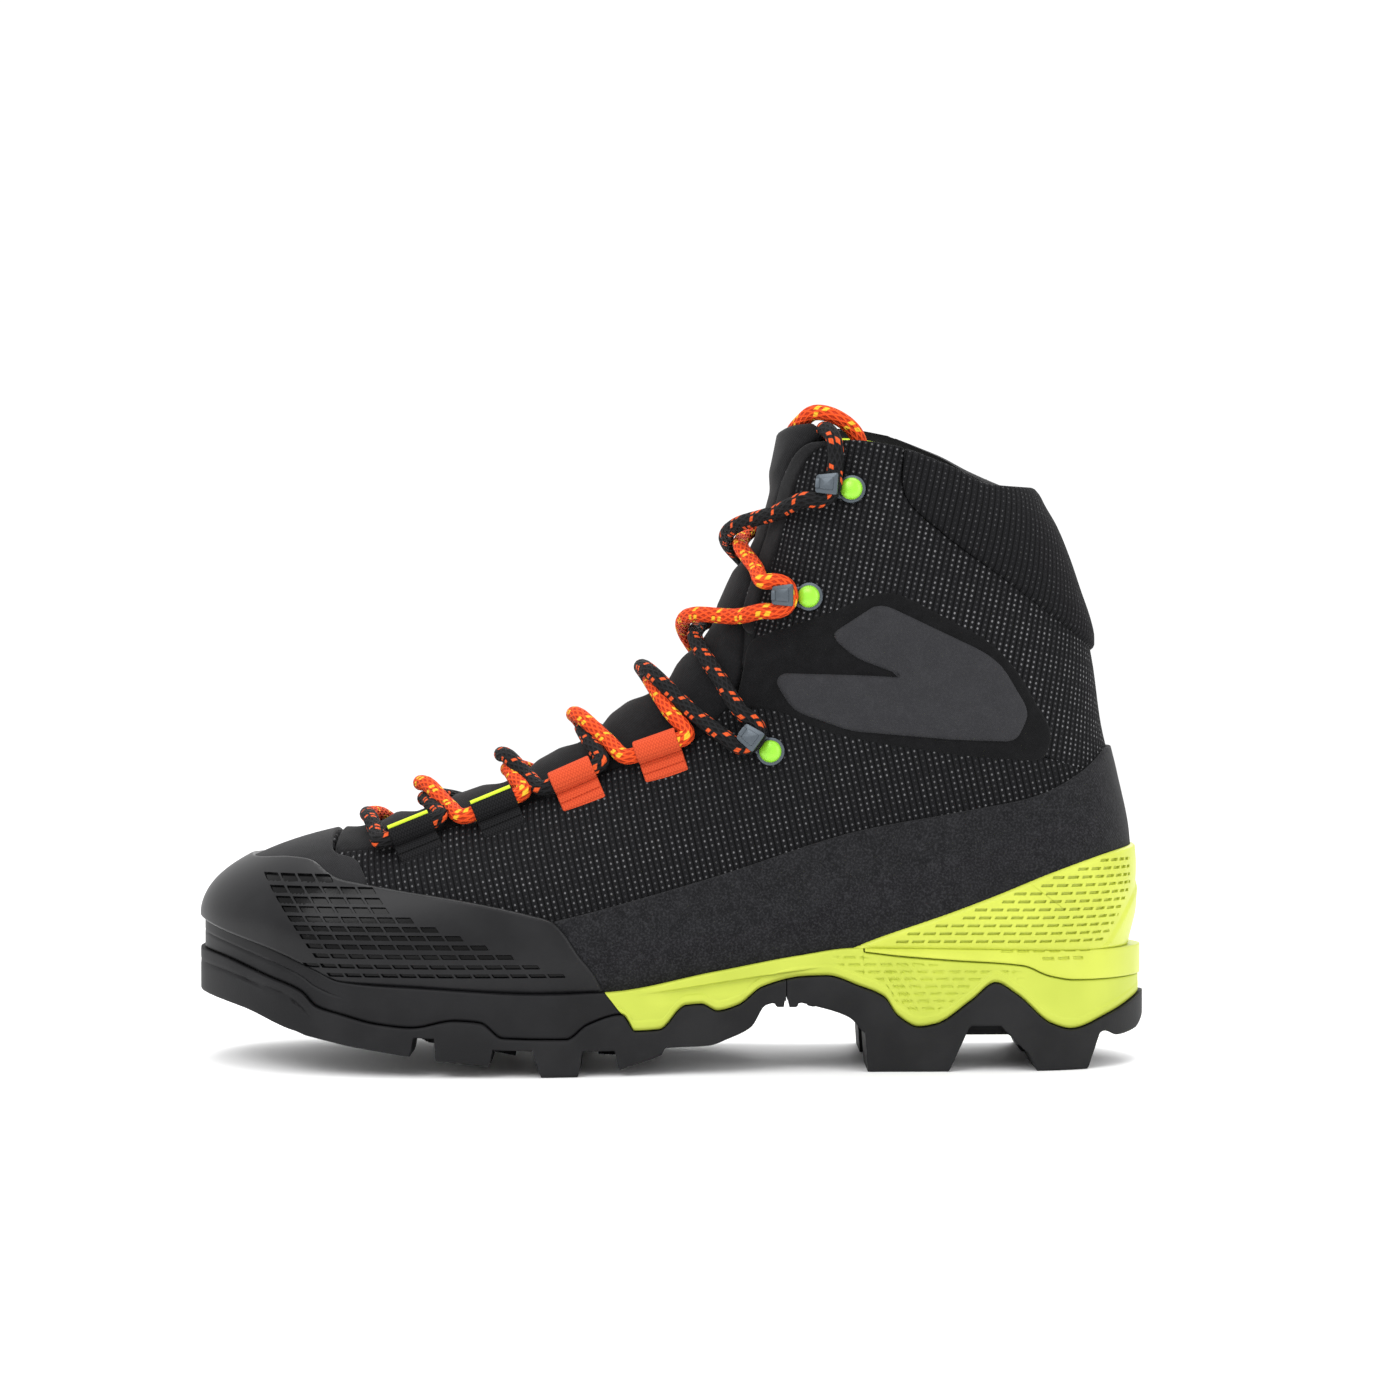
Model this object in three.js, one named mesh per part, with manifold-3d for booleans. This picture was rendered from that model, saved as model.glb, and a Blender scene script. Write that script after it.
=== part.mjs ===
// A left mountaineering boot: lugged rubber outsole, two-part midsole with a crampon-ready heel
// cradle, lasted knit upper with a rubber toe rand, hinged cuff, tongue, webbing lace loops,
// riveted speed hooks and one two-colour lace.
// Millimetres. Toe points to -X, heel to +X, outer (lateral) side to -Y, ground at z = 0.
import * as THREE from 'three';
import { mergeVertices } from 'three/addons/utils/BufferGeometryUtils.js';
import Module from 'manifold-3d';

const wasm = await Module();
wasm.setup();

// ---------------------------------------------------------------- driving dimensions
const LENGTH = 305.4; // outsole, toe to heel
const WIDTH = 108; // outsole across the ball of the foot
const HEIGHT = 207; // ground to the top of the lace over the tongue

const GAP = 0.3; // clearance between neighbouring pieces
const KNIT = 1.5; // upper knit
const STIFFENER = 1.2; // toe puff and heel counter
const LINING = 2.2; // padded lining
const PANEL = 1.2; // stretch ankle panel
const PAD = 1.2; // ankle pad
const RAND = 2.2; // rubber toe rand
const SIDE_RAND = 1.2; // side rand
const OVERLAY = 1.0; // toe overlay
const HEEL_CUP = 2.7; // wall of the heel cradle
const COLLAR_PROUD = 1.5; // how far the collar pad stands out of the knit
const BINDING_PROUD = 0.9; // front binding, the same
const BOARD = 2.0; // lasting board
const FOOTBED = 4.0;
const SHANK = 1.5;
const SHANK_WIDTH = 24;
const SHANK_FRONT = -70;
const SHANK_BACK = 50;
const MIDSOLE_INSET = 1.4; // midsole wall inside the outsole wall
const CRADLE_INSET = 0.8; // heel cradle ledge, the same
const LUG_WIDTH = 19; // edge lugs, inwards from the outsole wall
const HEEL_LUG_WIDTH = 25;
const CHANNEL_DEPTH = 11; // side recess of the heel's cross channel

const LACE_D = 5.0;
const LACE_SIDES = 6;
const TAIL_SIDES = 8;
const AGLET_D = 3.6;
const AGLET_LENGTH = 22;
const LOOP_WIDTH = 14; // webbing loops, along the lace
const LOOP_TAIL = 13; // webbing below the lace
const WEBBING = 1.0;
const LOOP_SEAT = 0.5; // webbing above the knit
const HOOK_SEAT = 0.6;
const HOOK_PLATE = 1.0;
const HOOK_WIDTH = 7.2;
const HOOK_REACH = 10.5; // rivet axis to the front of the hook
const HOOK_FLAP = 7.0; // flap length over the lace
const STEM = 3.0; // hook stem width
const RING_R = 4.4; // hook base ring
const RIVET_R = 3.5; // dome
const RIVET_DOME = 2.2;
const RIVET_SHANK_R = 1.3;
const RIVET_FOOT_R = 3.0;
const RIVET_FOOT = 0.8;
const KNIT_SLANT = 1.1; // the knit under a rivet is a little thicker along the rivet

const FLEX_PIVOT = [84, 104]; // ankle axis in the side view
const LEAN_FRONT = 8.6; // degrees of room in the lining for the cuff to lean forwards
const LEAN_BACK = 4.5; // and backwards

// ---------------------------------------------------------------- pattern
// Outlines are drawn on a pattern boot of this size and stretched to the real one.
const PATTERN = { length: 305.4, width: 108, height: 207 };
const SX = LENGTH / PATTERN.length;
const SY = WIDTH / PATTERN.width;
const SZ = HEIGHT / PATTERN.height;

// A smooth curve through (t, value) points that never overshoots them. Its step is how far
// apart its corners stand where it is cut into straight lines.
function curveThrough(points, step = 5) {
  const n = points.length;
  const h = [];
  const slope = [];
  for (let i = 0; i < n - 1; i += 1) {
    h.push(points[i + 1][0] - points[i][0]);
    slope.push((points[i + 1][1] - points[i][1]) / h[i]);
  }
  const tangent = [slope[0]];
  for (let i = 1; i < n - 1; i += 1) {
    const w1 = 2 * h[i] + h[i - 1];
    const w2 = h[i] + 2 * h[i - 1];
    const flat = slope[i - 1] * slope[i] <= 0;
    tangent.push(flat ? 0 : (w1 + w2) / (w1 / slope[i - 1] + w2 / slope[i]));
  }
  tangent.push(slope[n - 2]);
  const value = (t) => {
    if (t <= points[0][0]) return points[0][1] + tangent[0] * (t - points[0][0]);
    if (t >= points[n - 1][0]) return points[n - 1][1] + tangent[n - 1] * (t - points[n - 1][0]);
    let i = 0;
    while (t > points[i + 1][0]) i += 1;
    const u = (t - points[i][0]) / h[i];
    const u2 = u * u;
    const u3 = u2 * u;
    return (2 * u3 - 3 * u2 + 1) * points[i][1] + (u3 - 2 * u2 + u) * h[i] * tangent[i]
      + (3 * u2 - 2 * u3) * points[i + 1][1] + (u3 - u2) * h[i] * tangent[i + 1];
  };
  return Object.assign(value, { step });
}

function smooth(low, high, t) {
  const u = Math.min(1, Math.max(0, (t - low) / (high - low)));
  return u * u * (3 - 2 * u);
}

// Side-view curves: feather line (top of the sole), ridge over the instep and shin, heel back.
const feather = curveThrough([[-154, 47], [-143, 43.6], [-124, 38.3], [-109, 32], [-102, 29],
  [-76, 27.2], [-38, 25.3], [-20, 25.6], [14, 31.4], [40, 36.1], [58, 38.4], [90, 38], [152, 37]],
12);
const ridge = curveThrough([[-156, 66], [-134, 68.3], [-112, 72], [-85, 78.6], [-56, 88],
  [-30, 101.5], [-9.5, 116], [0, 122.5], [8.8, 133], [15.6, 143.5], [20, 153], [24.4, 162],
  [29.5, 174], [33.5, 189], [37, 206], [45, 245], [60, 310], [90, 380], [160, 480]]);
const heelBack = curveThrough([[20, 144], [36, 144], [50, 146.6], [62, 147.2], [72, 146.6],
  [92, 142.6], [108, 138.8], [128, 136], [140, 133.4], [150, 130], [160, 126.6], [170, 122.5],
  [178, 118], [196, 111], [220, 104]]);
// Half-widths of the foot along its length and of the shaft up its height, and the centre line.
const footWidth = curveThrough([[-156, 40], [-140, 42], [-120, 46.5], [-95, 50], [-72, 51],
  [-45, 47.5], [-15, 41.5], [15, 37], [45, 35], [80, 34.6], [110, 35.2], [150, 35.5]]);
const shaftWidth = curveThrough([[40, 36], [70, 35.5], [95, 36.5], [130, 37.5], [150, 39],
  [170, 39.5], [190, 38], [220, 37]]);
const footCentre = curveThrough([[-156, 8.5], [-140, 7], [-120, 4.5], [-95, 1.5], [-70, 0],
  [-40, -3], [-10, -4.5], [20, -3.8], [50, -2.3], [80, -1], [110, 0], [156, 0]]);

const LAST = { toe: -150.6, toeRadius: 46, toePower: 2.6, crown: 2.5, fullness: 2.15, heelRadius: 40 };
const UNDER = 3; // the last runs on below the feather line, to be trimmed there

function centreLine(x, z) {
  return footCentre(x) * (1 - smooth(50, 130, z));
}

// Half-width of the last at a side-view point of the pattern.
function halfWidth(x, z) {
  const base = feather(x) - UNDER;
  const toe = Math.min(1, Math.max(0, 1 - (x - LAST.toe) / LAST.toeRadius));
  const rise = Math.min(1, Math.max(0, (z - base) / (ridge(x) - base)));
  const heel = Math.min(1, Math.max(0, 1 - (heelBack(z) - x) / LAST.heelRadius));
  const width = footWidth(x) + (shaftWidth(z) - footWidth(x)) * smooth(55, 110, z);
  const crown = Math.max(0, 1 - toe ** LAST.toePower - rise ** LAST.crown) ** (1 / LAST.fullness);
  const back = Math.max(0, 1 - heel ** 2.3) ** (1 / 2.3);
  return width * crown * back * (0.94 + 0.06 * smooth(0, 14, z - base));
}

function ridgeHeight(x) {
  const base = feather(x) - UNDER;
  const toe = Math.min(1, Math.max(0, 1 - (x - LAST.toe) / LAST.toeRadius));
  return base + (ridge(x) - base) * Math.max(0, 1 - toe ** LAST.toePower) ** (1 / LAST.crown);
}

// A real point on the last: side is -1 lateral, 1 medial.
function lastPoint(x, z, side) {
  const y = centreLine(x, z) + side * halfWidth(x, z);
  return new THREE.Vector3(x * SX, y * SY, z * SZ);
}

// ---------------------------------------------------------------- the last as a fan of sections
// Each section runs from the sole edge or the heel back up to the ridge and down the other side.
// Each row: ridge x, bottom x, and bottom z once the sections close on the heel back.
const SECTIONS = [[-150.2, -148.5, null], [-148.5, -142, null], [-144, -130, null],
  [-134, -114, null], [-116, -95, null], [-95, -70, null], [-70, -38, null], [-42, 0, null],
  [-20, 42, null], [0, 85, null], [8, 118, null], [10.5, 136, null], [12.5, 0, 34],
  [15.5, 0, 60], [20, 0, 95], [27, 0, 128], [32, 0, 158], [35, 0, 188], [38, 0, 214]];
const CLOSED_FROM = 12; // first section that closes on the heel back
const HALF_COLUMNS = 8;
const COLUMNS = 2 * HALF_COLUMNS;
const SECTION_SAMPLES = 80;
const TOE_TIP = [-150.45, 44];

function sectionRow([ridgeX, bottomX, bottomZ], halfColumns) {
  const low = [bottomX, bottomZ];
  const top = [ridgeX, ridgeHeight(ridgeX)];
  const fine = [];
  const run = [0];
  for (let k = 0; k <= SECTION_SAMPLES; k += 1) {
    const t = (1 - Math.cos((Math.PI * k) / SECTION_SAMPLES)) / 2;
    fine.push([low[0] + (top[0] - low[0]) * t, low[1] + (top[1] - low[1]) * t]);
    if (k === 0) continue;
    const step = lastPoint(...fine[k], -1).distanceTo(lastPoint(...fine[k - 1], -1));
    run.push(run[k - 1] + step);
  }
  const half = [];
  for (let j = 0; j <= halfColumns; j += 1) {
    const target = (run[SECTION_SAMPLES] * j) / halfColumns;
    let k = 1;
    while (k < SECTION_SAMPLES && run[k] < target) k += 1;
    const u = (target - run[k - 1]) / (run[k] - run[k - 1]);
    half.push([0, 1].map((axis) => fine[k - 1][axis] + (fine[k][axis] - fine[k - 1][axis]) * u));
  }
  const lateral = half.map(([x, z]) => lastPoint(x, z, -1));
  const medial = half.map(([x, z]) => lastPoint(x, z, 1)).reverse();
  return [...lateral, ...medial.slice(1)];
}

// A section's three numbers with both ends of its bottom point filled in.
function fullSection([ridgeX, x, z]) {
  return z === null ? [ridgeX, x, feather(x) - UNDER] : [ridgeX, heelBack(z), z];
}

const rows = SECTIONS.map((section) => sectionRow(fullSection(section), HALF_COLUMNS));

// Vertex numbering of the whole surface: toe tip, open rows, then closed rows.
function buildLast() {
  const points = [lastPoint(...TOE_TIP, 1)];
  const ids = rows.map((row, i) => row.map((point, j) => {
    if (i >= CLOSED_FROM && j === COLUMNS) return null;
    points.push(point);
    return points.length - 1;
  }));
  ids.slice(CLOSED_FROM).forEach((row) => { row[COLUMNS] = row[0]; });
  const faces = [];
  for (let j = 0; j < COLUMNS; j += 1) faces.push([0, ids[0][j], ids[0][j + 1]]);
  for (let i = 0; i < ids.length - 1; i += 1) {
    for (let j = 0; j < COLUMNS; j += 1) {
      const [a, b] = [ids[i][j], ids[i][j + 1]];
      const [c, d] = [ids[i + 1][j], ids[i + 1][j + 1]];
      // The diagonals mirror about the ridge.
      if (j < HALF_COLUMNS) faces.push([a, d, b], [a, c, d]);
      else faces.push([a, c, b], [b, c, d]);
    }
  }
  const normals = points.map(() => new THREE.Vector3());
  faces.forEach((face) => {
    const [a, b, c] = face.map((id) => points[id]);
    const normal = b.clone().sub(a).cross(c.clone().sub(a));
    face.forEach((id) => normals[id].add(normal));
  });
  normals.forEach((normal) => normal.normalize());
  return { points, normals, ids, faces };
}

const last = buildLast();

// ---------------------------------------------------------------- solids
function solid(points, faces) {
  const vertProperties = new Float32Array(points.flatMap((p) => [p.x, p.y, p.z]));
  const triVerts = new Uint32Array(faces.flat());
  return new wasm.Manifold(new wasm.Mesh({ numProp: 3, vertProperties, triVerts }));
}

function fromGeometry(geometry) {
  const bare = geometry.clone();
  bare.deleteAttribute('normal');
  bare.deleteAttribute('uv');
  const merged = mergeVertices(bare, 1e-4);
  return new wasm.Manifold(new wasm.Mesh({
    numProp: 3,
    vertProperties: new Float32Array(merged.attributes.position.array),
    triVerts: new Uint32Array(merged.index.array),
  }));
}

function toGeometry(body) {
  const mesh = body.getMesh();
  const geometry = new THREE.BufferGeometry();
  geometry.setAttribute('position', new THREE.BufferAttribute(new Float32Array(mesh.vertProperties), 3));
  geometry.setIndex(new THREE.BufferAttribute(new Uint32Array(mesh.triVerts), 1));
  return geometry;
}

// The last moved outwards by offset and closed at the sole and the collar. Reach carries both
// closures further out, so that one body can be cut clean out of another.
function lastBody(offset, reach = 0) {
  const points = last.points.map((p, i) => p.clone().addScaledVector(last.normals[i], offset));
  const lower = new Set([0, last.ids[CLOSED_FROM][0]]);
  for (let i = 0; i < CLOSED_FROM; i += 1) {
    lower.add(last.ids[i][0]);
    lower.add(last.ids[i][COLUMNS]);
  }
  lower.forEach((id) => { points[id].z -= reach; });
  const top = last.ids[last.ids.length - 1];
  top.slice(0, COLUMNS).forEach((id) => { points[id].z += reach; });
  const faces = [...last.faces];
  faces.push([0, last.ids[0][COLUMNS], last.ids[0][0]]);
  for (let i = 0; i < CLOSED_FROM - 1; i += 1) {
    const [a, b] = [last.ids[i][0], last.ids[i][COLUMNS]];
    const [c, d] = [last.ids[i + 1][0], last.ids[i + 1][COLUMNS]];
    faces.push([a, d, c], [a, b, d]);
  }
  const [lateral, medial] = [last.ids[CLOSED_FROM - 1][0], last.ids[CLOSED_FROM - 1][COLUMNS]];
  faces.push([lateral, medial, last.ids[CLOSED_FROM][0]]);
  const centre = new THREE.Vector3();
  top.slice(0, COLUMNS).forEach((id) => centre.addScaledVector(points[id], 1 / COLUMNS));
  points.push(centre);
  for (let j = 0; j < COLUMNS; j += 1) faces.push([top[j + 1], top[j], points.length - 1]);
  return solid(points, faces);
}

function layer(inner, outer) {
  return lastBody(outer).subtract(lastBody(inner, 4));
}

const SPAN = 90; // half-length of a side-view cutter across the boot

// A side-view outline of the pattern, extruded across the boot between two real y values.
function sidePrism(outline, yLow = -SPAN, yHigh = SPAN) {
  const shape = new THREE.Shape(outline.map(([x, z]) => new THREE.Vector2(x * SX, z * SZ)));
  const geometry = new THREE.ExtrudeGeometry(shape, { depth: yHigh - yLow, bevelEnabled: false });
  geometry.rotateX(Math.PI / 2);
  geometry.translate(0, yHigh, 0);
  return fromGeometry(geometry);
}

// A plan outline in real millimetres, extruded between two heights.
function planPrism(outline, zLow, zHigh) {
  const shape = new THREE.Shape(outline.map(([x, y]) => new THREE.Vector2(x, y)));
  const geometry = new THREE.ExtrudeGeometry(shape, { depth: zHigh - zLow, bevelEnabled: false });
  geometry.translate(0, 0, zLow);
  return fromGeometry(geometry);
}

// Points along a height curve from x0 to x1, raised by a real height. Corners stand at whole
// steps, so pieces that meet on the curve share them, and an end between two corners lies on
// the straight line between them.
function along(curve, x0, x1, raise = 0) {
  const { step } = curve;
  const cornered = (x) => {
    const [a, b] = [Math.floor(x / step) * step, Math.floor(x / step + 1) * step];
    return curve(a) + ((curve(b) - curve(a)) * (x - a)) / step;
  };
  const xs = [x0];
  for (let x = Math.floor(x0 / step + 1) * step; x < x1; x += step) xs.push(x);
  return [...xs, x1].map((x) => [x, cornered(x) + raise / SZ]);
}

// The band of the side view between two runs of points, both from the toe to the heel.
function bandPrism(low, high, y = SPAN) {
  return sidePrism([...low, ...high.slice().reverse()], -y, y);
}

// A closed outline moved outwards by a distance, corner by corner.
function grow(outline, distance) {
  const n = outline.length;
  let area = 0;
  outline.forEach(([x, z], i) => {
    const [x2, z2] = outline[(i + 1) % n];
    area += x * z2 - x2 * z;
  });
  const sign = Math.sign(area);
  return outline.map(([x, z], i) => {
    const before = outline[(i + n - 1) % n];
    const after = outline[(i + 1) % n];
    const in1 = new THREE.Vector2(x - before[0], z - before[1]).normalize();
    const in2 = new THREE.Vector2(after[0] - x, after[1] - z).normalize();
    const n1 = new THREE.Vector2(in1.y, -in1.x).multiplyScalar(sign);
    const n2 = new THREE.Vector2(in2.y, -in2.x).multiplyScalar(sign);
    const mid = n1.clone().add(n2).normalize();
    const reach = distance / Math.max(0.5, mid.dot(n1));
    return [x + mid.x * reach, z + mid.y * reach];
  });
}

const SKY = 260; // above everything, in the side view
const aboveFeather = sidePrism([...along(feather, -165, 165, GAP), [165, SKY], [-165, SKY]]);

// ---------------------------------------------------------------- upper
const LAYERS = {
  knit: [-KNIT, 0],
  panel: [-KNIT, -KNIT + PANEL],
  pad: [-KNIT + PANEL + GAP, -KNIT + PANEL + GAP + PAD],
  stiffener: [-KNIT - GAP - STIFFENER, -KNIT - GAP],
  lining: [-KNIT - 2 * GAP - STIFFENER - LINING, -KNIT - 2 * GAP - STIFFENER],
  rand: [GAP, GAP + RAND],
  sideRand: [GAP, GAP + SIDE_RAND],
  overlay: [GAP, GAP + OVERLAY],
  heelCup: [GAP, GAP + HEEL_CUP],
  collar: [-KNIT, COLLAR_PROUD],
  binding: [-KNIT, BINDING_PROUD],
  tongue: [-KNIT - GAP - STIFFENER, -GAP],
};

// Side-view outlines of the pattern.
const EYESTAY = [[-105.4, 68], [-92, 69.4], [-73.8, 74.4], [-48.2, 82.2], [-23.7, 92.1],
  [3.6, 101.6], [12, 106]];
const THROAT = [[17, 112.5], [20.5, 122], [22, 133], [22.3, 143]];
const QUARTER_FRONT = [[24.2, 150], [26.8, 158], [29.8, 167], [32.6, 176.5], [35.8, 187],
  [39.6, 194], [43.4, 196.8]];
const COLLAR = [[48.8, 197.3], [60.8, 197.1], [73.2, 195]];
const COLLAR_BACK = [[80.4, 192.5], [90.8, 188.5], [98.6, 184.7], [108.6, 183.8], [130, 185]];
const COLLAR_SEAM = [[73.2, 195], [73.5, 179.8], [85.9, 167.2], [103.2, 154.8], [122.9, 140.9],
  [136.8, 131.5], [155, 127]];
const RAND_TOP = [[-141.5, 69.5], [-136, 66.4], [-120.2, 66.9], [-112.1, 66], [-107, 62.8],
  [-103.4, 61], [-94.2, 59.3], [-60.9, 54], [-43.2, 50.1], [-35.5, 47.7]];
const RAND_BACK = [[-32.2, 44.6], [-27.8, 38], [-22.4, 30.7], [-18.5, 22]];
const SIDE_RAND_TOP = [[-35.5, 47.7], [-21.3, 51.1], [15.8, 61.5], [56.4, 74.3], [90.8, 80.8],
  [115.8, 86.1], [130.8, 93.7], [139.6, 100.6], [155, 106]];
const HEEL_CUP_TOP = [[52, 36], [64.5, 41], [81.1, 46.9], [99.7, 53.9], [118.2, 61.3],
  [133.2, 66.2], [142.2, 68.4], [160, 71]];
const ANKLE_PANEL = [[24.2, 135], [50, 143.3], [61, 148.3], [67.5, 149.9], [73, 148.8],
  [100, 134.5], [108, 126.7], [121, 105.2], [117.4, 96.1], [90.7, 98], [65.7, 101.8],
  [50, 104.9], [33, 112.6], [20, 112.9], [22.6, 124]];
const ANKLE_PAD = [[49.6, 136], [64.1, 145.4], [68, 145.2], [98.4, 130.8], [104.1, 126.5],
  [113, 112], [108.5, 102.6], [89.1, 103.2], [56.4, 106], [38.5, 112.4], [32.6, 121.6],
  [34.8, 124.4], [62, 123.6], [73.5, 122.9], [58, 128.8]];
const TOE_OVERLAY_BACK = [[-94.4, 60.4], [-98.3, 66.1], [-106.4, 68.8], [-108.5, 80]];
const CUFF_BACK_ROOM = 4.5; // the knit of the cuff ends this far above the side rand
const BINDING_WIDTH = 4.2;

const knit = layer(...LAYERS.knit);
const lining = layer(...LAYERS.lining);
const stiffener = layer(...LAYERS.stiffener);

const TONGUE_TOP = 197;

// Side-view outline of the tongue, a little clear of the quarters.
function tongueField() {
  const low = EYESTAY.map(([x, z]) => [x, z + GAP / SZ]);
  const front = [...THROAT, ...QUARTER_FRONT].map(([x, z]) => [x - GAP / SX, z]);
  return [[-106.6, 90], [-106.6, 69.2], ...low, ...front, [20, 196.8], [-40, 170]];
}

function makeVampKnit() {
  const outline = [[-165, 20], [-165, 90], [-107, 90], [-107, 68.9], ...EYESTAY, [17, 112.5],
    [33, 112.3], [50, 104.5], [65.7, 101.4], [90.7, 97.6], [117.4, 95.6], [131.5, 93.3],
    [139.6, 100.6], [155, 106], [165, 20]];
  return knit.intersect(sidePrism(outline)).intersect(aboveFeather);
}

function makeCuffKnit() {
  const low = SIDE_RAND_TOP.slice(-3).map(([x, z]) => [x, z + CUFF_BACK_ROOM]).reverse();
  const seam = grow([...COLLAR_SEAM, [155, 260], [73.2, 260]], GAP / SX);
  const outline = [...THROAT.slice(-1), ...QUARTER_FRONT, ...COLLAR, [73.2, 220], [160, 220],
    ...low, [119, 100.5], [108, 104], [60, 125], [28, 134]];
  const front = sidePrism(frontBindingOutline(true));
  return knit.intersect(sidePrism(outline)).subtract(sidePrism(seam))
    .subtract(sidePrism(grow(ANKLE_PANEL, GAP / SX))).subtract(front);
}

// The binding's side view; as a cutter it runs on past the edge and the top.
function frontBindingOutline(cutter = false) {
  const edge = [[22.3, 138], ...THROAT.slice(-1), ...QUARTER_FRONT];
  const width = BINDING_WIDTH + (cutter ? GAP : 0);
  const inner = edge.map(([x, z]) => [x + width, z - 0.4 * BINDING_WIDTH]).reverse();
  return cutter
    ? [...edge.map(([x, z]) => [x - 5, z]), [40, 205], [43.4 + width, 205], ...inner]
    : [...edge, ...inner];
}

function makeTongue() {
  const front = sidePrism([[-108, 20], [-108, SKY], [165, SKY], [165, 20]]);
  return layer(...LAYERS.tongue).intersect(sidePrism(tongueField())).intersect(front);
}

// Directions of the two lining edges each side of the ankle axis, in the side view.
function flexRay(degrees, lift) {
  const angle = THREE.MathUtils.degToRad(degrees);
  const far = 150;
  const [x, z] = FLEX_PIVOT;
  return [x + far * Math.cos(angle), z + lift + far * Math.sin(angle)];
}

const FRONT_CUT = 160.2; // direction of the lower lining's front edge
const BACK_CUT = -4.1;

function makeLiningLower() {
  const outline = [[FLEX_PIVOT[0], FLEX_PIVOT[1] - GAP], flexRay(FRONT_CUT, -GAP), [-200, 90],
    [-200, -20], [240, -20], flexRay(BACK_CUT, -GAP)];
  return lining.intersect(sidePrism(outline)).intersect(aboveFeather);
}

function makeLiningCuff() {
  const outline = [[FLEX_PIVOT[0], FLEX_PIVOT[1] + GAP], flexRay(BACK_CUT + LEAN_BACK, GAP),
    [220, 210], [130, 185], ...COLLAR_BACK.slice(0, -1).reverse(), ...COLLAR.slice().reverse(),
    [46, TONGUE_TOP], [20, TONGUE_TOP], [-60, 210], flexRay(FRONT_CUT - LEAN_FRONT, GAP)];
  return lining.intersect(sidePrism(outline));
}

function makeCollarPad() {
  const outline = [...COLLAR_SEAM, [165, 220], ...COLLAR_BACK.slice().reverse()];
  return layer(...LAYERS.collar).intersect(sidePrism(outline));
}

function makeToeRand() {
  const outline = [[-165, 20], [-165, 90], [-143.5, 90], ...RAND_TOP, ...RAND_BACK];
  return layer(...LAYERS.rand).intersect(sidePrism(outline)).intersect(aboveFeather);
}

function makeToeOverlay() {
  const field = [[-146, 90], ...RAND_TOP.slice(0, 7), ...TOE_OVERLAY_BACK];
  const rand = grow([[-165, 20], [-165, 90], [-143.5, 90], ...RAND_TOP, ...RAND_BACK], GAP / SX);
  return layer(...LAYERS.overlay).intersect(sidePrism(field)).subtract(sidePrism(rand));
}

function makeSideRand() {
  const outline = [...SIDE_RAND_TOP, [165, 20], [-18.5, 20]];
  const rand = grow([[-165, 20], [-165, 90], [-143.5, 90], ...RAND_TOP, ...RAND_BACK], GAP / SX);
  return layer(...LAYERS.sideRand).intersect(sidePrism(outline)).intersect(aboveFeather)
    .subtract(sidePrism(rand)).subtract(sidePrism(grow(heelCupField(), GAP / SX)));
}

function makeSided(body, side) {
  return side < 0
    ? body.intersect(sidePrism([[-200, -20], [200, -20], [200, SKY], [-200, SKY]], -SPAN, 0))
    : body.intersect(sidePrism([[-200, -20], [200, -20], [200, SKY], [-200, SKY]], 0, SPAN));
}

function heelCupField() {
  return [...HEEL_CUP_TOP, [165, 25], [52, 25]];
}

// ---------------------------------------------------------------- sole
// Plan outline of the outsole: medial edge to the heel and back along the lateral edge.
const SOLE_PLAN = [[-152.7, 8], [-150.5, 23], [-140, 35.5], [-120, 46.5], [-95, 52.5], [-70, 54],
  [-40, 46], [-10, 39], [20, 35], [50, 34.5], [80, 36], [110, 37], [130, 32.5], [145, 19],
  [152.7, 0], [145, -19], [130, -32.5], [110, -38], [80, -39], [50, -40], [20, -43.5],
  [-10, -49], [-40, -53.5], [-70, -54], [-95, -51], [-120, -41], [-140, -23], [-150.5, -6]];
const SOLE_STEPS = 84;

function soleOutline(inset) {
  const knots = SOLE_PLAN.map(([x, y]) => new THREE.Vector3(x * SX, y * SY, 0));
  const curve = new THREE.CatmullRomCurve3(knots, true);
  const outline = curve.getSpacedPoints(SOLE_STEPS).slice(0, SOLE_STEPS).map((p) => [p.x, p.y]);
  return inset ? grow(outline, -inset) : outline;
}

// Edges of the sole across the boot at one length, for what lies inside them.
const byLength = (a, b) => a[0] - b[0];
const medialEdge = curveThrough(SOLE_PLAN.slice(0, 15).sort(byLength));
const lateralEdge = curveThrough([...SOLE_PLAN.slice(14), SOLE_PLAN[0]].sort(byLength));

// Plan outline of what lies further in from the sole's edge than a width.
function soleCore(width) {
  const [x0, x1] = [(-PATTERN.length / 2) * SX + width, (PATTERN.length / 2) * SX - width];
  const count = 24;
  const outline = [];
  for (let i = 0; i <= count; i += 1) {
    const x = x0 + ((x1 - x0) * i) / count;
    outline.push([x, lateralEdge(x / SX) * SY + width]);
  }
  for (let i = count; i >= 0; i -= 1) {
    const x = x0 + ((x1 - x0) * i) / count;
    outline.push([x, Math.max(medialEdge(x / SX) * SY - width, lateralEdge(x / SX) * SY + width + 1)]);
  }
  return outline;
}

const SOLE_HIGH = 90;
const outsoleWall = planPrism(soleOutline(0), -10, SOLE_HIGH);
const midsoleWall = planPrism(soleOutline(MIDSOLE_INSET), -10, SOLE_HIGH);
const cradleWall = planPrism(soleOutline(CRADLE_INSET), -10, SOLE_HIGH);

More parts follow.
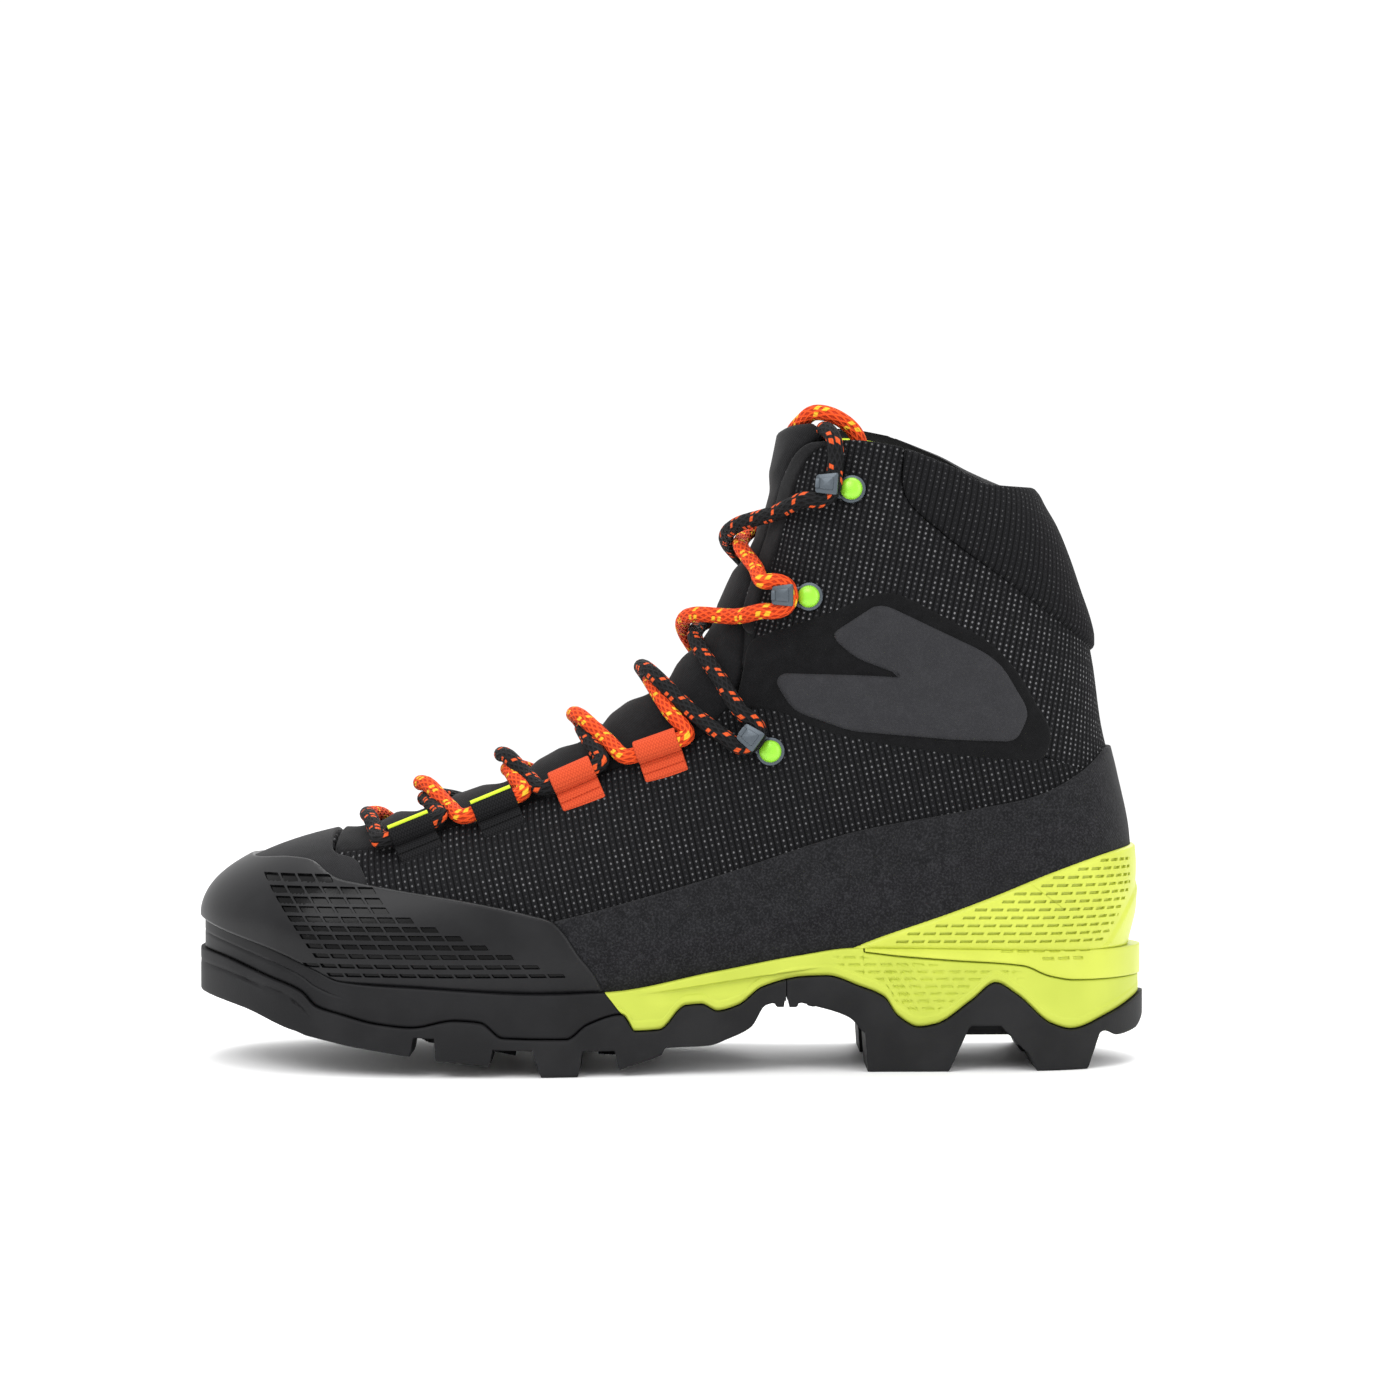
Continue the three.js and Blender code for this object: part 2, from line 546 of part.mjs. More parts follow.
// The wavy upper edge of the outsole.
const outsoleTop = curveThrough([[-154, 35.9], [-143, 34.4], [-125.5, 29.3], [-114, 25.2],
  [-109.5, 21], [-101.5, 18.7], [-90, 16], [-79, 15], [-66, 17.2], [-58, 16.6], [-51, 11.8],
  [-31.6, 11.3], [-25, 15.8], [-14.6, 18.8], [-10.5, 13.5], [-3, 13.8], [5.2, 21.1],
  [10, 21.4], [15, 19.2], [21.5, 20.9], [29, 26.4], [42.4, 29.5], [49, 29.7], [59, 26.5],
  [67.3, 22.8], [71, 17.4], [78, 13.6], [83, 14.4], [94.4, 21.9], [101.8, 27.4],
  [108.5, 23.7], [119.5, 14.4], [126, 12.5], [138.4, 16.3], [153, 22.2]]);
// Underside of the rubber between the lugs, forefoot and heel.
const treadFront = curveThrough([[-154, 22.5], [-134, 19], [-112.7, 12.8], [-104, 12.6],
  [-79, 12.2], [-66, 11.6], [-54, 8.6], [-16, 7.8], [-3, 8.4], [11.8, 8.7], [18.4, 10.8],
  [25.6, 14.4], [30, 21], [38, 22.6]]);
const treadHeel = curveThrough([[36, 22.8], [46, 20.4], [56.3, 16.8], [61, 12], [66, 10],
  [134, 10], [137, 11.4], [141.8, 9.6], [148.9, 10.6], [154, 16]]);
// Side views of the edge lugs and of the ribs under the arch.
const EDGE_LUGS = [
  [[-121, 15], [-112.7, 12], [-99.1, 9.3], [-79.5, 6.4], [-78.2, 13.4], [-100, 14], [-119, 15.8]],
  [[-71.8, 5.1], [-55, 3.6], [-53.8, 9.8], [-60, 12.4], [-67.4, 12.9]],
  [[-39.3, 0], [-27.8, 0], [-26.4, 9], [-42.2, 9]],
  [[-15.4, 1.9], [-5.8, 4.9], [-2.2, 6.3], [-0.6, 9.6], [-4, 10.4], [-17, 9]]];
const ARCH_RIBS = [[[31.4, 24], [33.4, 20.4], [35.9, 20.4], [35.9, 24]]];
const HEEL_RIBS = [[[36.8, 24], [37.4, 20.3], [39.8, 20.3], [41.4, 24]],
  [[42.6, 23], [43, 20.8], [45.4, 20.2], [47.4, 22]]];
const HEEL_LUGS = [[[61.8, 0], [87.3, 0], [92.6, 11.6], [61.2, 12]],
  [[114.8, 0], [131.5, 0], [135.8, 11.6], [105.4, 11.6], [108.5, 8.8], [112.3, 5.3]]];
const HEEL_CHANNEL = [[86.9, -1], [93.8, 14.2], [103.4, 14.2], [108.5, 8.8], [112.3, 5.3],
  [114.6, -1]];
const SOLE_SPLIT = 36.4; // between the forefoot and heel rubber
const LUG_DROP = 20;

// Centre lugs of the forefoot: arrowheads pointing to the toe, [tip x, half-width, y of the tip].
const CENTRE_LUGS = [[-124, 13, 3], [-104, 17, 1], [-84, 19, 0], [-64, 19, -1], [-44, 17, -3],
  [-24, 14, -5], [-5, 12, -5]];
const CENTRE_LUG_LENGTH = 9;
const CENTRE_LUG_SWEEP = 7;
const CENTRE_LUG_DEPTH = 4.6;
const CENTRE_SLOT = 2.2; // half of the slot down the middle
// Lowest reach of the forefoot tread: the toe spring and the ball of the foot.
const rocker = curveThrough([[-154, 22.5], [-134, 19], [-112.7, 12.2], [-99, 9.4], [-76, 5.8],
  [-55, 3], [-40, 0.6], [-28, 0.6], [-15, 2.4], [-3, 5.8], [12, 8]], 8);

function joined(bodies) {
  return bodies.reduce((sum, body) => sum.add(body));
}

function edgeRing(width) {
  return outsoleWall.subtract(planPrism(soleCore(width), -11, SOLE_HIGH + 1));
}

function centreLugs() {
  const blocks = [];
  CENTRE_LUGS.forEach(([tip, half, centre]) => {
    [-1, 1].forEach((side) => {
      const near = centre + side * CENTRE_SLOT;
      const far = centre + side * half;
      blocks.push(planPrism([[tip, near], [tip + CENTRE_LUG_LENGTH, near],
        [tip + CENTRE_LUG_LENGTH + CENTRE_LUG_SWEEP, far], [tip + CENTRE_LUG_SWEEP, far]]
        .map(([x, y]) => [x * SX, y * SY]), -LUG_DROP, 30));
    });
  });
  const lowest = along(rocker, -130, 14)
    .map(([x, z]) => [x, Math.max(z, treadFront(x) - CENTRE_LUG_DEPTH)]);
  const field = bandPrism(lowest, along(treadFront, -130, 14, 1.2));
  return joined(blocks).intersect(field);
}

function makeOutsoleForefoot() {
  const plate = outsoleWall.intersect(bandPrism(along(treadFront, -154, SOLE_SPLIT),
    along(outsoleTop, -154, SOLE_SPLIT)));
  const edge = joined(EDGE_LUGS.concat(ARCH_RIBS).map((outline) => sidePrism(outline)))
    .intersect(edgeRing(LUG_WIDTH));
  return plate.add(edge).add(centreLugs());
}

function makeOutsoleHeel() {
  const plate = outsoleWall.intersect(bandPrism(along(treadHeel, SOLE_SPLIT + GAP, 154),
    along(outsoleTop, SOLE_SPLIT + GAP, 154)));
  const lugs = joined(HEEL_LUGS.map((outline) => sidePrism(outline)))
    .intersect(edgeRing(HEEL_LUG_WIDTH));
  const ribs = joined(HEEL_RIBS.map((outline) => sidePrism(outline))).intersect(edgeRing(LUG_WIDTH));
  const channel = sidePrism(HEEL_CHANNEL).intersect(edgeRing(CHANNEL_DEPTH));
  return plate.add(lugs).add(ribs).subtract(channel);
}

// Where the black front of the midsole meets the rear part, leaning in the side view.
const MIDSOLE_SPLIT = [[-20.6, 40], [-20, 25.6], [-14.6, 18.8], [-14.6, 0]];
const cradleBottom = curveThrough([[56, 38.1], [71.6, 36.1], [87.1, 34.8], [110.4, 33],
  [119.1, 29.6], [127, 28.2], [154, 27.6]]);
const CRADLE_FRONT = 61; // the cradle's base plate starts here, at a workable thickness

function shankSlot(clearance) {
  const [x0, x1] = [SHANK_FRONT - clearance, SHANK_BACK + clearance];
  return bandPrism(along(feather, x0, x1, -GAP - SHANK - clearance),
    along(feather, x0, x1, clearance ? 2 : -GAP), SHANK_WIDTH / 2 + clearance);
}

function midsoleBody() {
  const step = CRADLE_FRONT - GAP / SX;
  const top = [...along(feather, -153, step), ...along(cradleBottom, step, 153, -GAP)];
  return midsoleWall.intersect(bandPrism(along(outsoleTop, -153, 153, GAP), top))
    .subtract(shankSlot(GAP));
}

function makeMidsoleForefoot() {
  return midsoleBody().intersect(sidePrism([[-165, 0], [-165, 60], [-20.6, 60], ...MIDSOLE_SPLIT]));
}

function makeMidsoleRear() {
  const split = MIDSOLE_SPLIT.map(([x, z]) => [x + GAP * 1.3, z]);
  return midsoleBody().intersect(sidePrism([...split.reverse(), [-20, 60], [165, 60], [165, 0]]));
}

function makeHeelCup() {
  const base = cradleWall.intersect(bandPrism(along(cradleBottom, CRADLE_FRONT, 154),
    along(feather, CRADLE_FRONT, 154)));
  const shellFoot = [...along(feather, 50, CRADLE_FRONT + 1, GAP),
    ...along(feather, CRADLE_FRONT + 1, 165, -1)];
  const shell = layer(...LAYERS.heelCup).intersect(sidePrism(heelCupField()))
    .intersect(sidePrism([...shellFoot, [165, SKY], [50, SKY]]));
  return base.add(shell);
}

function inside(offset, low, high) {
  return lastBody(offset).intersect(bandPrism(along(feather, -165, 165, low),
    along(feather, -165, 165, high)));
}

function makeLastingBoard() {
  return inside(LAYERS.lining[0] - GAP, GAP, GAP + BOARD);
}

function makeFootbed() {
  return inside(LAYERS.lining[0] - 2 * GAP, 2 * GAP + BOARD, 2 * GAP + BOARD + FOOTBED);
}

// ---------------------------------------------------------------- lace hardware
// Middle of each webbing loop and its direction along the throat, pattern side view.
const LOOPS = [[-80.5, 71.6, 0.4], [-54.2, 79.6, 0.41], [-29.4, 89.2, 0.44], [-3, 99.2, 0.35]];
// Rivet of each hook, and the point in front of it that the hook faces.
const HOOKS = [[31.8, 99.6, 23.7, 105.4], [44, 148, 36.9, 148], [57.1, 181.4, 47.2, 181.9]];

// Axes of a fitting on the last: forward along (dx, dz), normal outwards, and across.
function fittingFrame(x, z, side, dx, dz) {
  const step = 0.5;
  const origin = lastPoint(x, z, side);
  const alongX = lastPoint(x + step, z, side).sub(lastPoint(x - step, z, side));
  const alongZ = lastPoint(x, z + step, side).sub(lastPoint(x, z - step, side));
  const normal = alongX.clone().cross(alongZ).normalize();
  if (normal.y * side < 0) normal.negate();
  const forward = alongX.multiplyScalar(dx).addScaledVector(alongZ, dz);
  forward.addScaledVector(normal, -forward.dot(normal)).normalize();
  const across = forward.clone().cross(normal);
  return { origin, forward, normal, across };
}

// Heights of the knit's outer face above a fitting's plane, over a grid of forward and across
// places: the highest and the lowest.
function knitHeights({ origin, forward, normal, across }, fs, as) {
  const heights = [];
  const hit = new THREE.Vector3();
  fs.forEach((f) => as.forEach((a) => {
    const start = origin.clone().addScaledVector(forward, f).addScaledVector(across, a);
    const ray = new THREE.Ray(start.addScaledVector(normal, 12), normal.clone().negate());
    const distances = last.faces
      .filter((face) => ray.intersectTriangle(...face.map((id) => last.points[id]), false, hit))
      .map((face) => ray.intersectTriangle(...face.map((id) => last.points[id]), false, hit)
        .distanceTo(ray.origin));
    if (distances.length) heights.push(12 - Math.min(...distances));
  }));
  return { high: Math.max(...heights), low: Math.min(...heights) };
}

function place(body, frame) {
  const { origin, forward, normal, across } = frame;
  return body.transform([...forward.toArray(), 0, ...normal.toArray(), 0, ...across.toArray(), 0,
    ...origin.toArray(), 1]);
}

function onFrame({ origin, forward, normal, across }, f, n, a) {
  return origin.clone().addScaledVector(forward, f).addScaledVector(normal, n)
    .addScaledVector(across, a);
}

const LACE_R = LACE_D / 2;
const LOOP_LACE = LOOP_SEAT + WEBBING + GAP + LACE_R; // lace centre above the knit in a loop
const HOOK_LACE = HOOK_SEAT + HOOK_PLATE + GAP + LACE_R; // and in a hook

function loopFrame([x, z, slope], side) {
  return raised(fittingFrame(x, z, side, 1, slope), LOOP_WIDTH / 2, 1);
}

// A frame moved out to the highest point of the knit under the fitting.
function raised(frame, reach, width) {
  const { high } = knitHeights(frame, [-reach, 0, reach], [-width, 0, width]);
  frame.origin.addScaledVector(frame.normal, high);
  return frame;
}

// Webbing folded round the lace, with both ends laid down on the knit.
function makeLoop(loop, side) {
  const frame = loopFrame(loop, side);
  const hole = LACE_R + GAP;
  const ring = new THREE.Shape().absarc(0, LOOP_LACE, hole + WEBBING, 0, 2 * Math.PI);
  ring.holes.push(new THREE.Path().absarc(0, LOOP_LACE, hole, 0, 2 * Math.PI));
  const settings = { depth: LOOP_WIDTH, bevelEnabled: false, curveSegments: 7 };
  // The tail follows the last downwards: across points away from the throat.
  const down = frame.across.z < 0 ? 1 : -1;
  const steps = 4;
  const drop = frame.across.clone().multiplyScalar(down);
  const under = [];
  for (let k = 0; k <= steps; k += 1) {
    const reach = (LOOP_TAIL * k) / steps;
    const half = LOOP_WIDTH / 2;
    const { high } = knitHeights(frame, [-half, -half / 2, 0, half / 2, half],
      [down * (reach - 1.5), down * reach, down * (reach + 1.5)]);
    under.push([reach, high]);
  }
  const low = under.map(([s, n]) => new THREE.Vector2(s, n + LOOP_SEAT));
  const high = under.map(([s, n]) => new THREE.Vector2(s, n + LOOP_SEAT + WEBBING)).reverse();
  const tail = fromGeometry(new THREE.ExtrudeGeometry(new THREE.Shape([...low, ...high]), settings));
  const eye = fromGeometry(new THREE.ExtrudeGeometry(ring, settings));
  // Shape axes: x down the boot, y outwards, extrusion along the throat.
  const across = drop.clone().cross(frame.normal);
  const start = frame.origin.clone().addScaledVector(across, -LOOP_WIDTH / 2);
  return eye.add(tail).transform([...drop.toArray(), 0, ...frame.normal.toArray(), 0,
    ...across.toArray(), 0, ...start.toArray(), 1]);
}

function hookFrame([x, z, frontX, frontZ], side) {
  return raised(fittingFrame(x, z, side, frontX - x, frontZ - z), RING_R, RING_R);
}

function block(f0, f1, n0, n1, width0, width1 = width0) {
  const shape = new THREE.Shape([[f0, -width0 / 2], [f1, -width1 / 2], [f1, width1 / 2],
    [f0, width0 / 2]].map(([f, a]) => new THREE.Vector2(f, a)));
  const geometry = new THREE.ExtrudeGeometry(shape, { depth: n1 - n0, bevelEnabled: false });
  geometry.rotateX(-Math.PI / 2);
  geometry.translate(0, n0, 0);
  return fromGeometry(geometry);
}

function turned(profile, segments) {
  const points = profile.map(([r, n]) => new THREE.Vector2(r, n));
  return fromGeometry(new THREE.LatheGeometry(points, segments));
}

// Base ring and plate on the knit, a stem in front of the lace, and a flap folded back over it.
function makeHook(hook, side) {
  const top = HOOK_LACE + LACE_R + GAP;
  const hole = RIVET_SHANK_R + GAP;
  const ring = turned([[hole, HOOK_SEAT], [RING_R, HOOK_SEAT], [RING_R, HOOK_SEAT + HOOK_PLATE],
    [hole, HOOK_SEAT + HOOK_PLATE], [hole, HOOK_SEAT]], 12);
  const plate = block(RING_R - 1.2, HOOK_REACH, HOOK_SEAT, HOOK_SEAT + HOOK_PLATE, 6, STEM + 1);
  const stem = block(HOOK_REACH - 1.2, HOOK_REACH, HOOK_SEAT, top + HOOK_PLATE, STEM);
  const flap = block(HOOK_REACH - HOOK_FLAP, HOOK_REACH, top, top + HOOK_PLATE, HOOK_WIDTH,
    HOOK_WIDTH * 0.78);
  return place(ring.add(plate).add(stem).add(flap), hookFrame(hook, side));
}

// Height of the inside of the knit over the whole foot of a rivet.
function rivetFoot(frame) {
  const spread = [-RIVET_FOOT_R, 0, RIVET_FOOT_R];
  return knitHeights(frame, spread, spread).low - KNIT * KNIT_SLANT - GAP;
}

// Domed rivet through the hook and the knit, spread flat on the inside of the knit.
function makeRivet(hook, side) {
  const seat = HOOK_SEAT + HOOK_PLATE + GAP;
  const frame = hookFrame(hook, side);
  const foot = rivetFoot(frame);
  const dome = [];
  for (let k = 0; k <= 3; k += 1) {
    const angle = (Math.PI / 2) * (k / 3);
    dome.push([k === 3 ? 0 : RIVET_R * Math.cos(angle), seat + RIVET_DOME * Math.sin(angle)]);
  }
  const profile = [[0, foot - RIVET_FOOT], [RIVET_FOOT_R, foot - RIVET_FOOT], [RIVET_FOOT_R, foot],
    [RIVET_SHANK_R, foot], [RIVET_SHANK_R, seat], ...dome];
  return place(turned(profile, 10), frame);
}

// Dent that a rivet's foot leaves in the lining.
function rivetDent(hook, side) {
  const frame = hookFrame(hook, side);
  const [r, foot] = [RIVET_FOOT_R + GAP, rivetFoot(frame) - RIVET_FOOT - GAP];
  return place(turned([[0, foot], [r, foot], [r, 6], [0, 6]], 8), frame);
}

function rivetHole(hook, side) {
  const r = RIVET_SHANK_R + GAP;
  return place(turned([[0, -6], [r, -6], [r, 6], [0, 6]], 8), hookFrame(hook, side));
}

// ---------------------------------------------------------------- lace
class Route extends THREE.CatmullRomCurve3 {
  // Steps follow the route's own points, so that tight turns get short steps.
  getPointAt(u, target) {
    return this.getPoint(u, target);
  }

  getTangentAt(u, target) {
    return this.getTangent(u, target);
  }
}

function cordTube(points, diameter, sides, stepsPerPoint) {
  const shape = new THREE.Shape();
  for (let k = 0; k < sides; k += 1) {
    const angle = (2 * Math.PI * k) / sides;
    const [x, y] = [Math.cos(angle), Math.sin(angle)].map((v) => (v * diameter) / 2);
    if (k === 0) shape.moveTo(x, y);
    else shape.lineTo(x, y);
  }
  const route = new Route(points);
  const steps = (points.length - 1) * stepsPerPoint;
  return fromGeometry(new THREE.ExtrudeGeometry(shape, { steps, extrudePath: route, curveSegments: 1 }));
}

const BED_STEPS = 4; // finer sections between two of the last's
const BED_COLUMNS = 20;
const BED_FIRST = 3; // the lace starts behind this section

// Points and normals all over the instep and the front of the shaft, for laying the lace on.
function frontSamples() {
  const fine = [];
  for (let i = BED_FIRST; i < SECTIONS.length - 1; i += 1) {
    for (let k = 0; k < BED_STEPS; k += 1) {
      const share = k / BED_STEPS;
      const [a, b] = [SECTIONS[i], SECTIONS[i + 1]].map(fullSection);
      const [ridgeX, x, z] = a.map((value, axis) => value + (b[axis] - value) * share);
      fine.push(sectionRow([ridgeX, x, z], BED_COLUMNS));
    }
  }
  const samples = [];
  for (let i = 1; i < fine.length - 1; i += 1) {
    for (let j = 4; j <= 2 * BED_COLUMNS - 4; j += 1) {
      const down = fine[i + 1][j].clone().sub(fine[i - 1][j]);
      const across = fine[i][j + 1].clone().sub(fine[i][j - 1]);
      samples.push({ point: fine[i][j], normal: down.cross(across).normalize() });
    }
  }
  return samples;
}

const laceBed = frontSamples();

// The point's foot on the surface, from the few samples round it, raised by a height.
function drape(target, height) {
  const near = laceBed.map((s) => ({ s, d: s.point.distanceToSquared(target) }))
    .sort((a, b) => a.d - b.d).slice(0, 6);
  const foot = new THREE.Vector3();
  const normal = new THREE.Vector3();
  let total = 0;
  near.forEach(({ s, d }) => {
    const weight = 1 / (d + 4);
    const level = target.clone().sub(s.point).dot(s.normal);
    foot.addScaledVector(target.clone().addScaledVector(s.normal, -level), weight);
    normal.addScaledVector(s.normal, weight);
    total += weight;
  });
  return foot.multiplyScalar(1 / total).addScaledVector(normal.normalize(), height);
}

const BED = LACE_R + GAP + 1.2; // lace centre above the tongue
const OVER = LACE_D + GAP + 0.3; // extra height of the strand that passes on top
// Where each crossing lies on the ridge, from the toe up.
const CROSSINGS = [-78.5, -51, -26.5, -4.5, 9.8, 22.6];

function ridgePoint(x) {
  return lastPoint(x, ridgeHeight(x), 1);
}

const LOOP_EXIT = 3; // the lace runs on straight this far out of a loop

// Ends of the lace where it passes a fitting: into it and out of it, towards the top.
function throughLoop(loop, side) {
  const frame = loopFrame(loop, side);
  const half = LOOP_WIDTH / 2;
  return [-half - LOOP_EXIT, -half / 3, half / 3, half + LOOP_EXIT]
    .map((f) => onFrame(frame, f, LOOP_LACE, 0));
}

const TURN = STEM / 2 + GAP + LACE_R + 0.35; // bend round a hook's stem
const TURN_CENTRE = HOOK_REACH - 0.6;

// Round the back of the hook's stem, below it first and then above it.
function roundHook(hook, side) {
  const frame = hookFrame(hook, side);
  const up = frame.across.z > 0 ? 1 : -1;
  const points = [];
  for (let k = 0; k <= 4; k += 1) {
    const angle = (Math.PI * k) / 4;
    const f = TURN_CENTRE - TURN * Math.sin(angle);
    points.push(onFrame(frame, f, HOOK_LACE, -up * TURN * Math.cos(angle)));
  }
  points.unshift(onFrame(frame, TURN_CENTRE + 4, HOOK_LACE, -up * TURN));
  points.push(onFrame(frame, TURN_CENTRE + 4, HOOK_LACE, up * TURN));
  return points;
}

// Where the lace leaves the top hook straight up, and its free end takes over.
function laceExit(side, beyond) {
  const frame = hookFrame(HOOKS[HOOKS.length - 1], side);
  const up = frame.across.z > 0 ? 1 : -1;
  return onFrame(frame, TURN_CENTRE - TURN, HOOK_LACE, up * (TURN + beyond));
}

// From one fitting over the ridge to the fitting opposite; over tells which strand is on top.
function strand(from, to, ridgeX, over) {
  const middle = ridgePoint(ridgeX);
  const height = BED + (over ? OVER : 0);
  const points = [];
  const legs = [[from, middle, [0.35, 0.75]], [middle, to, [0.25, 0.65]]];
  legs.forEach(([a, b, shares], leg) => {
    if (leg === 1) points.push(drape(middle, height));
    shares.forEach((share) => {
      const near = leg === 0 ? share : 1 - share;
      const lift = BED + (height - BED) * smooth(0.35, 0.9, near);
      points.push(drape(a.clone().lerp(b, share), lift));
    });
  });
  return points;
}

// One half of the lace, from the middle of the bottom bar to its top hook.
function laceHalf(startSide) {
  const bar = [ridgePoint(-97.5)].map((p) => drape(p, BED));
  const fittings = [];
  let side = startSide;
  LOOPS.forEach((loop) => { fittings.push(throughLoop(loop, side)); side = -side; });
  HOOKS.forEach((hook) => { fittings.push(roundHook(hook, side)); side = -side; });
  const entry = fittings[0][0];
  const points = [...bar, drape(bar[0].clone().lerp(entry, 0.4), BED),
    drape(bar[0].clone().lerp(entry, 0.75), BED), ...fittings[0]];
  for (let i = 1; i < fittings.length; i += 1) {
    const from = points[points.length - 1];
    const over = (i % 2 === 0) === (startSide < 0);
    points.push(...strand(from, fittings[i][0], CROSSINGS[i - 1], over), ...fittings[i]);
  }
  // Only a quarter turn round the top hook, then straight up.
  const top = startSide * (fittings.length % 2 ? 1 : -1);
  return [...points.slice(0, -3), laceExit(top, 0)];
}

function makeLace() {
  const near = laceHalf(-1);
  const far = laceHalf(1);
  return cordTube([...near.reverse(), ...far.slice(1)], LACE_D, LACE_SIDES, 1);
}

// Free ends, from the top hooks over the tongue and down inside the shaft.
const TAIL_BLACK = [[51.6, -35.4, 196.4], [50, -30.4, 200], [48.6, -24.6, 201],
  [49, -18.9, 199.4], [50.5, -15.5, 193.5], [51, -14, 184], [51, -13.5, 170], [51, -13.5, 154],
  [51, -13.5, 138], [51, -13.5, 122], [51, -13.5, 106], [51, -13.5, 84]];
const TAIL_ORANGE = [[50.6, 35, 197.2], [46.2, 28.4, 200.8], [41.4, 19, 201],
  [39.2, 8, 200.8], [39.4, -3, 201.2], [41.4, -13, 203.6], [46, -20.6, 206.6],
  [52.4, -24, 205], [58.4, -23.8, 200.2], [60.9, -22.4, 192.6], [61, -21.7, 184],
  [61, -21.5, 170], [61, -21.5, 154], [61, -21.5, 138], [61, -21.5, 122], [61, -21.5, 106],
  [61, -21.5, 84]];

function makeTail(route, side) {
  const points = route.map((p) => new THREE.Vector3(...p));
  const start = [GAP, 2.4, 4.5].map((beyond) => laceExit(side, beyond));
  return cordTube([...start, ...points], LACE_D, TAIL_SIDES, 1);
}

function makeAglet(route) {
  const [x, y, z] = route[route.length - 1];
  const r = AGLET_D / 2;
  const aglet = turned([[0, -AGLET_LENGTH], [r - 0.4, -AGLET_LENGTH], [r, 0.6 - AGLET_LENGTH],
    [r, 0], [0, 0]], 10);
  return aglet.rotate([90, 0, 0]).translate([x, y, z - GAP]);
}

// ---------------------------------------------------------------- assembly
const LOOKS = {
  rubber: [0x2b2b2d, 0.62, 0],
  knit: [0x17171a, 0.9, 0],
  lime: [0xcde23a, 0.5, 0],
  rand: [0x303033, 0.5, 0],
  microfibre: [0x2a2a2d, 0.85, 0],
  pad: [0x3b3b3f, 0.55, 0],
  lining: [0x1c1c1e, 0.95, 0],
  board: [0xb9b0a0, 0.9, 0],
  shank: [0x202022, 0.4, 0],
  orange: [0xe4502a, 0.75, 0],
  black: [0x18181a, 0.85, 0],
  hook: [0x4a5560, 0.35, 0.8],
  rivet: [0xa8e83c, 0.4, 0],
  aglet: [0x111113, 0.35, 0],
};

const boot = new THREE.Group();

function addPiece(name, body, look) {
  const [color, roughness, metalness] = LOOKS[look];
  const mesh = new THREE.Mesh(toGeometry(body),
    new THREE.MeshStandardMaterial({ color, roughness, metalness }));
  mesh.name = name;
  boot.add(mesh);
}

const SIDES = { lateral: -1, medial: 1 };

addPiece('outsole_forefoot', makeOutsoleForefoot(), 'rubber');
addPiece('outsole_heel', makeOutsoleHeel(), 'rubber');
addPiece('midsole_forefoot', makeMidsoleForefoot(), 'rubber');
addPiece('midsole_rear', makeMidsoleRear(), 'lime');
addPiece('heel_cup', makeHeelCup(), 'lime');
addPiece('shank', shankSlot(0), 'shank');
addPiece('lasting_board', makeLastingBoard(), 'board');
addPiece('footbed', makeFootbed(), 'lining');
addPiece('toe_puff', stiffener.intersect(sidePrism([[-165, 20], [-165, 90], [-118, 90], [-114, 20]]))
  .intersect(aboveFeather), 'board');
addPiece('heel_counter', stiffener.intersect(sidePrism([[84, 20], [96, 78], [165, 90], [165, 20]]))
  .intersect(aboveFeather), 'board');
addPiece('lining_lower', makeLiningLower(), 'lining');
addPiece('toe_rand', makeToeRand(), 'rand');
addPiece('toe_overlay', makeToeOverlay(), 'microfibre');
addPiece('side_rand', makeSideRand(), 'microfibre');
addPiece('tongue', makeTongue(), 'knit');
addPiece('collar_pad', makeCollarPad(), 'knit');

let vampKnit = makeVampKnit();
let cuffKnit = makeCuffKnit();
let liningCuff = makeLiningCuff();
Object.values(SIDES).forEach((side) => HOOKS.forEach((hook, i) => {
  if (i === 0) vampKnit = vampKnit.subtract(rivetHole(hook, side));
  else cuffKnit = cuffKnit.subtract(rivetHole(hook, side));
  if (i > 0) liningCuff = liningCuff.subtract(rivetDent(hook, side));
}));
addPiece('lining_cuff', liningCuff, 'lining');
addPiece('vamp_knit', vampKnit, 'knit');
addPiece('cuff_knit', cuffKnit, 'knit');

const panels = layer(...LAYERS.panel).intersect(sidePrism(ANKLE_PANEL));
const pads = layer(...LAYERS.pad).intersect(sidePrism(ANKLE_PAD));
const bindings = layer(...LAYERS.binding).intersect(sidePrism(frontBindingOutline()));
Object.entries(SIDES).forEach(([name, side]) => {
  addPiece(`ankle_panel_${name}`, makeSided(panels, side), 'black');
  addPiece(`ankle_pad_${name}`, makeSided(pads, side), 'pad');
  addPiece(`front_binding_${name}`, makeSided(bindings, side), 'black');
  LOOPS.forEach((loop, i) => {
    addPiece(`lace_loop_${i + 1}_${name}`, makeLoop(loop, side), i < 2 ? 'black' : 'orange');
  });
  HOOKS.forEach((hook, i) => {
    addPiece(`hook_${i + 1}_${name}`, makeHook(hook, side), 'hook');
    addPiece(`rivet_${i + 1}_${name}`, makeRivet(hook, side), 'rivet');
  });
});

addPiece('lace', makeLace(), 'orange');
addPiece('lace_tail_black', makeTail(TAIL_BLACK, SIDES.lateral), 'black');
addPiece('lace_tail_orange', makeTail(TAIL_ORANGE, SIDES.medial), 'orange');
addPiece('aglet_black', makeAglet(TAIL_BLACK), 'aglet');
addPiece('aglet_orange', makeAglet(TAIL_ORANGE), 'aglet');

export default boot;
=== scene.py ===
"""A left mountaineering boot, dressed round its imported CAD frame.

Lengths are millimetres in the frame's axes until a mesh is made: toe -X, heel +X, outer side -Y.
The outlines and the last are those of the CAD model, sampled finely, so every soft piece lies
where its solid does.
"""

import math

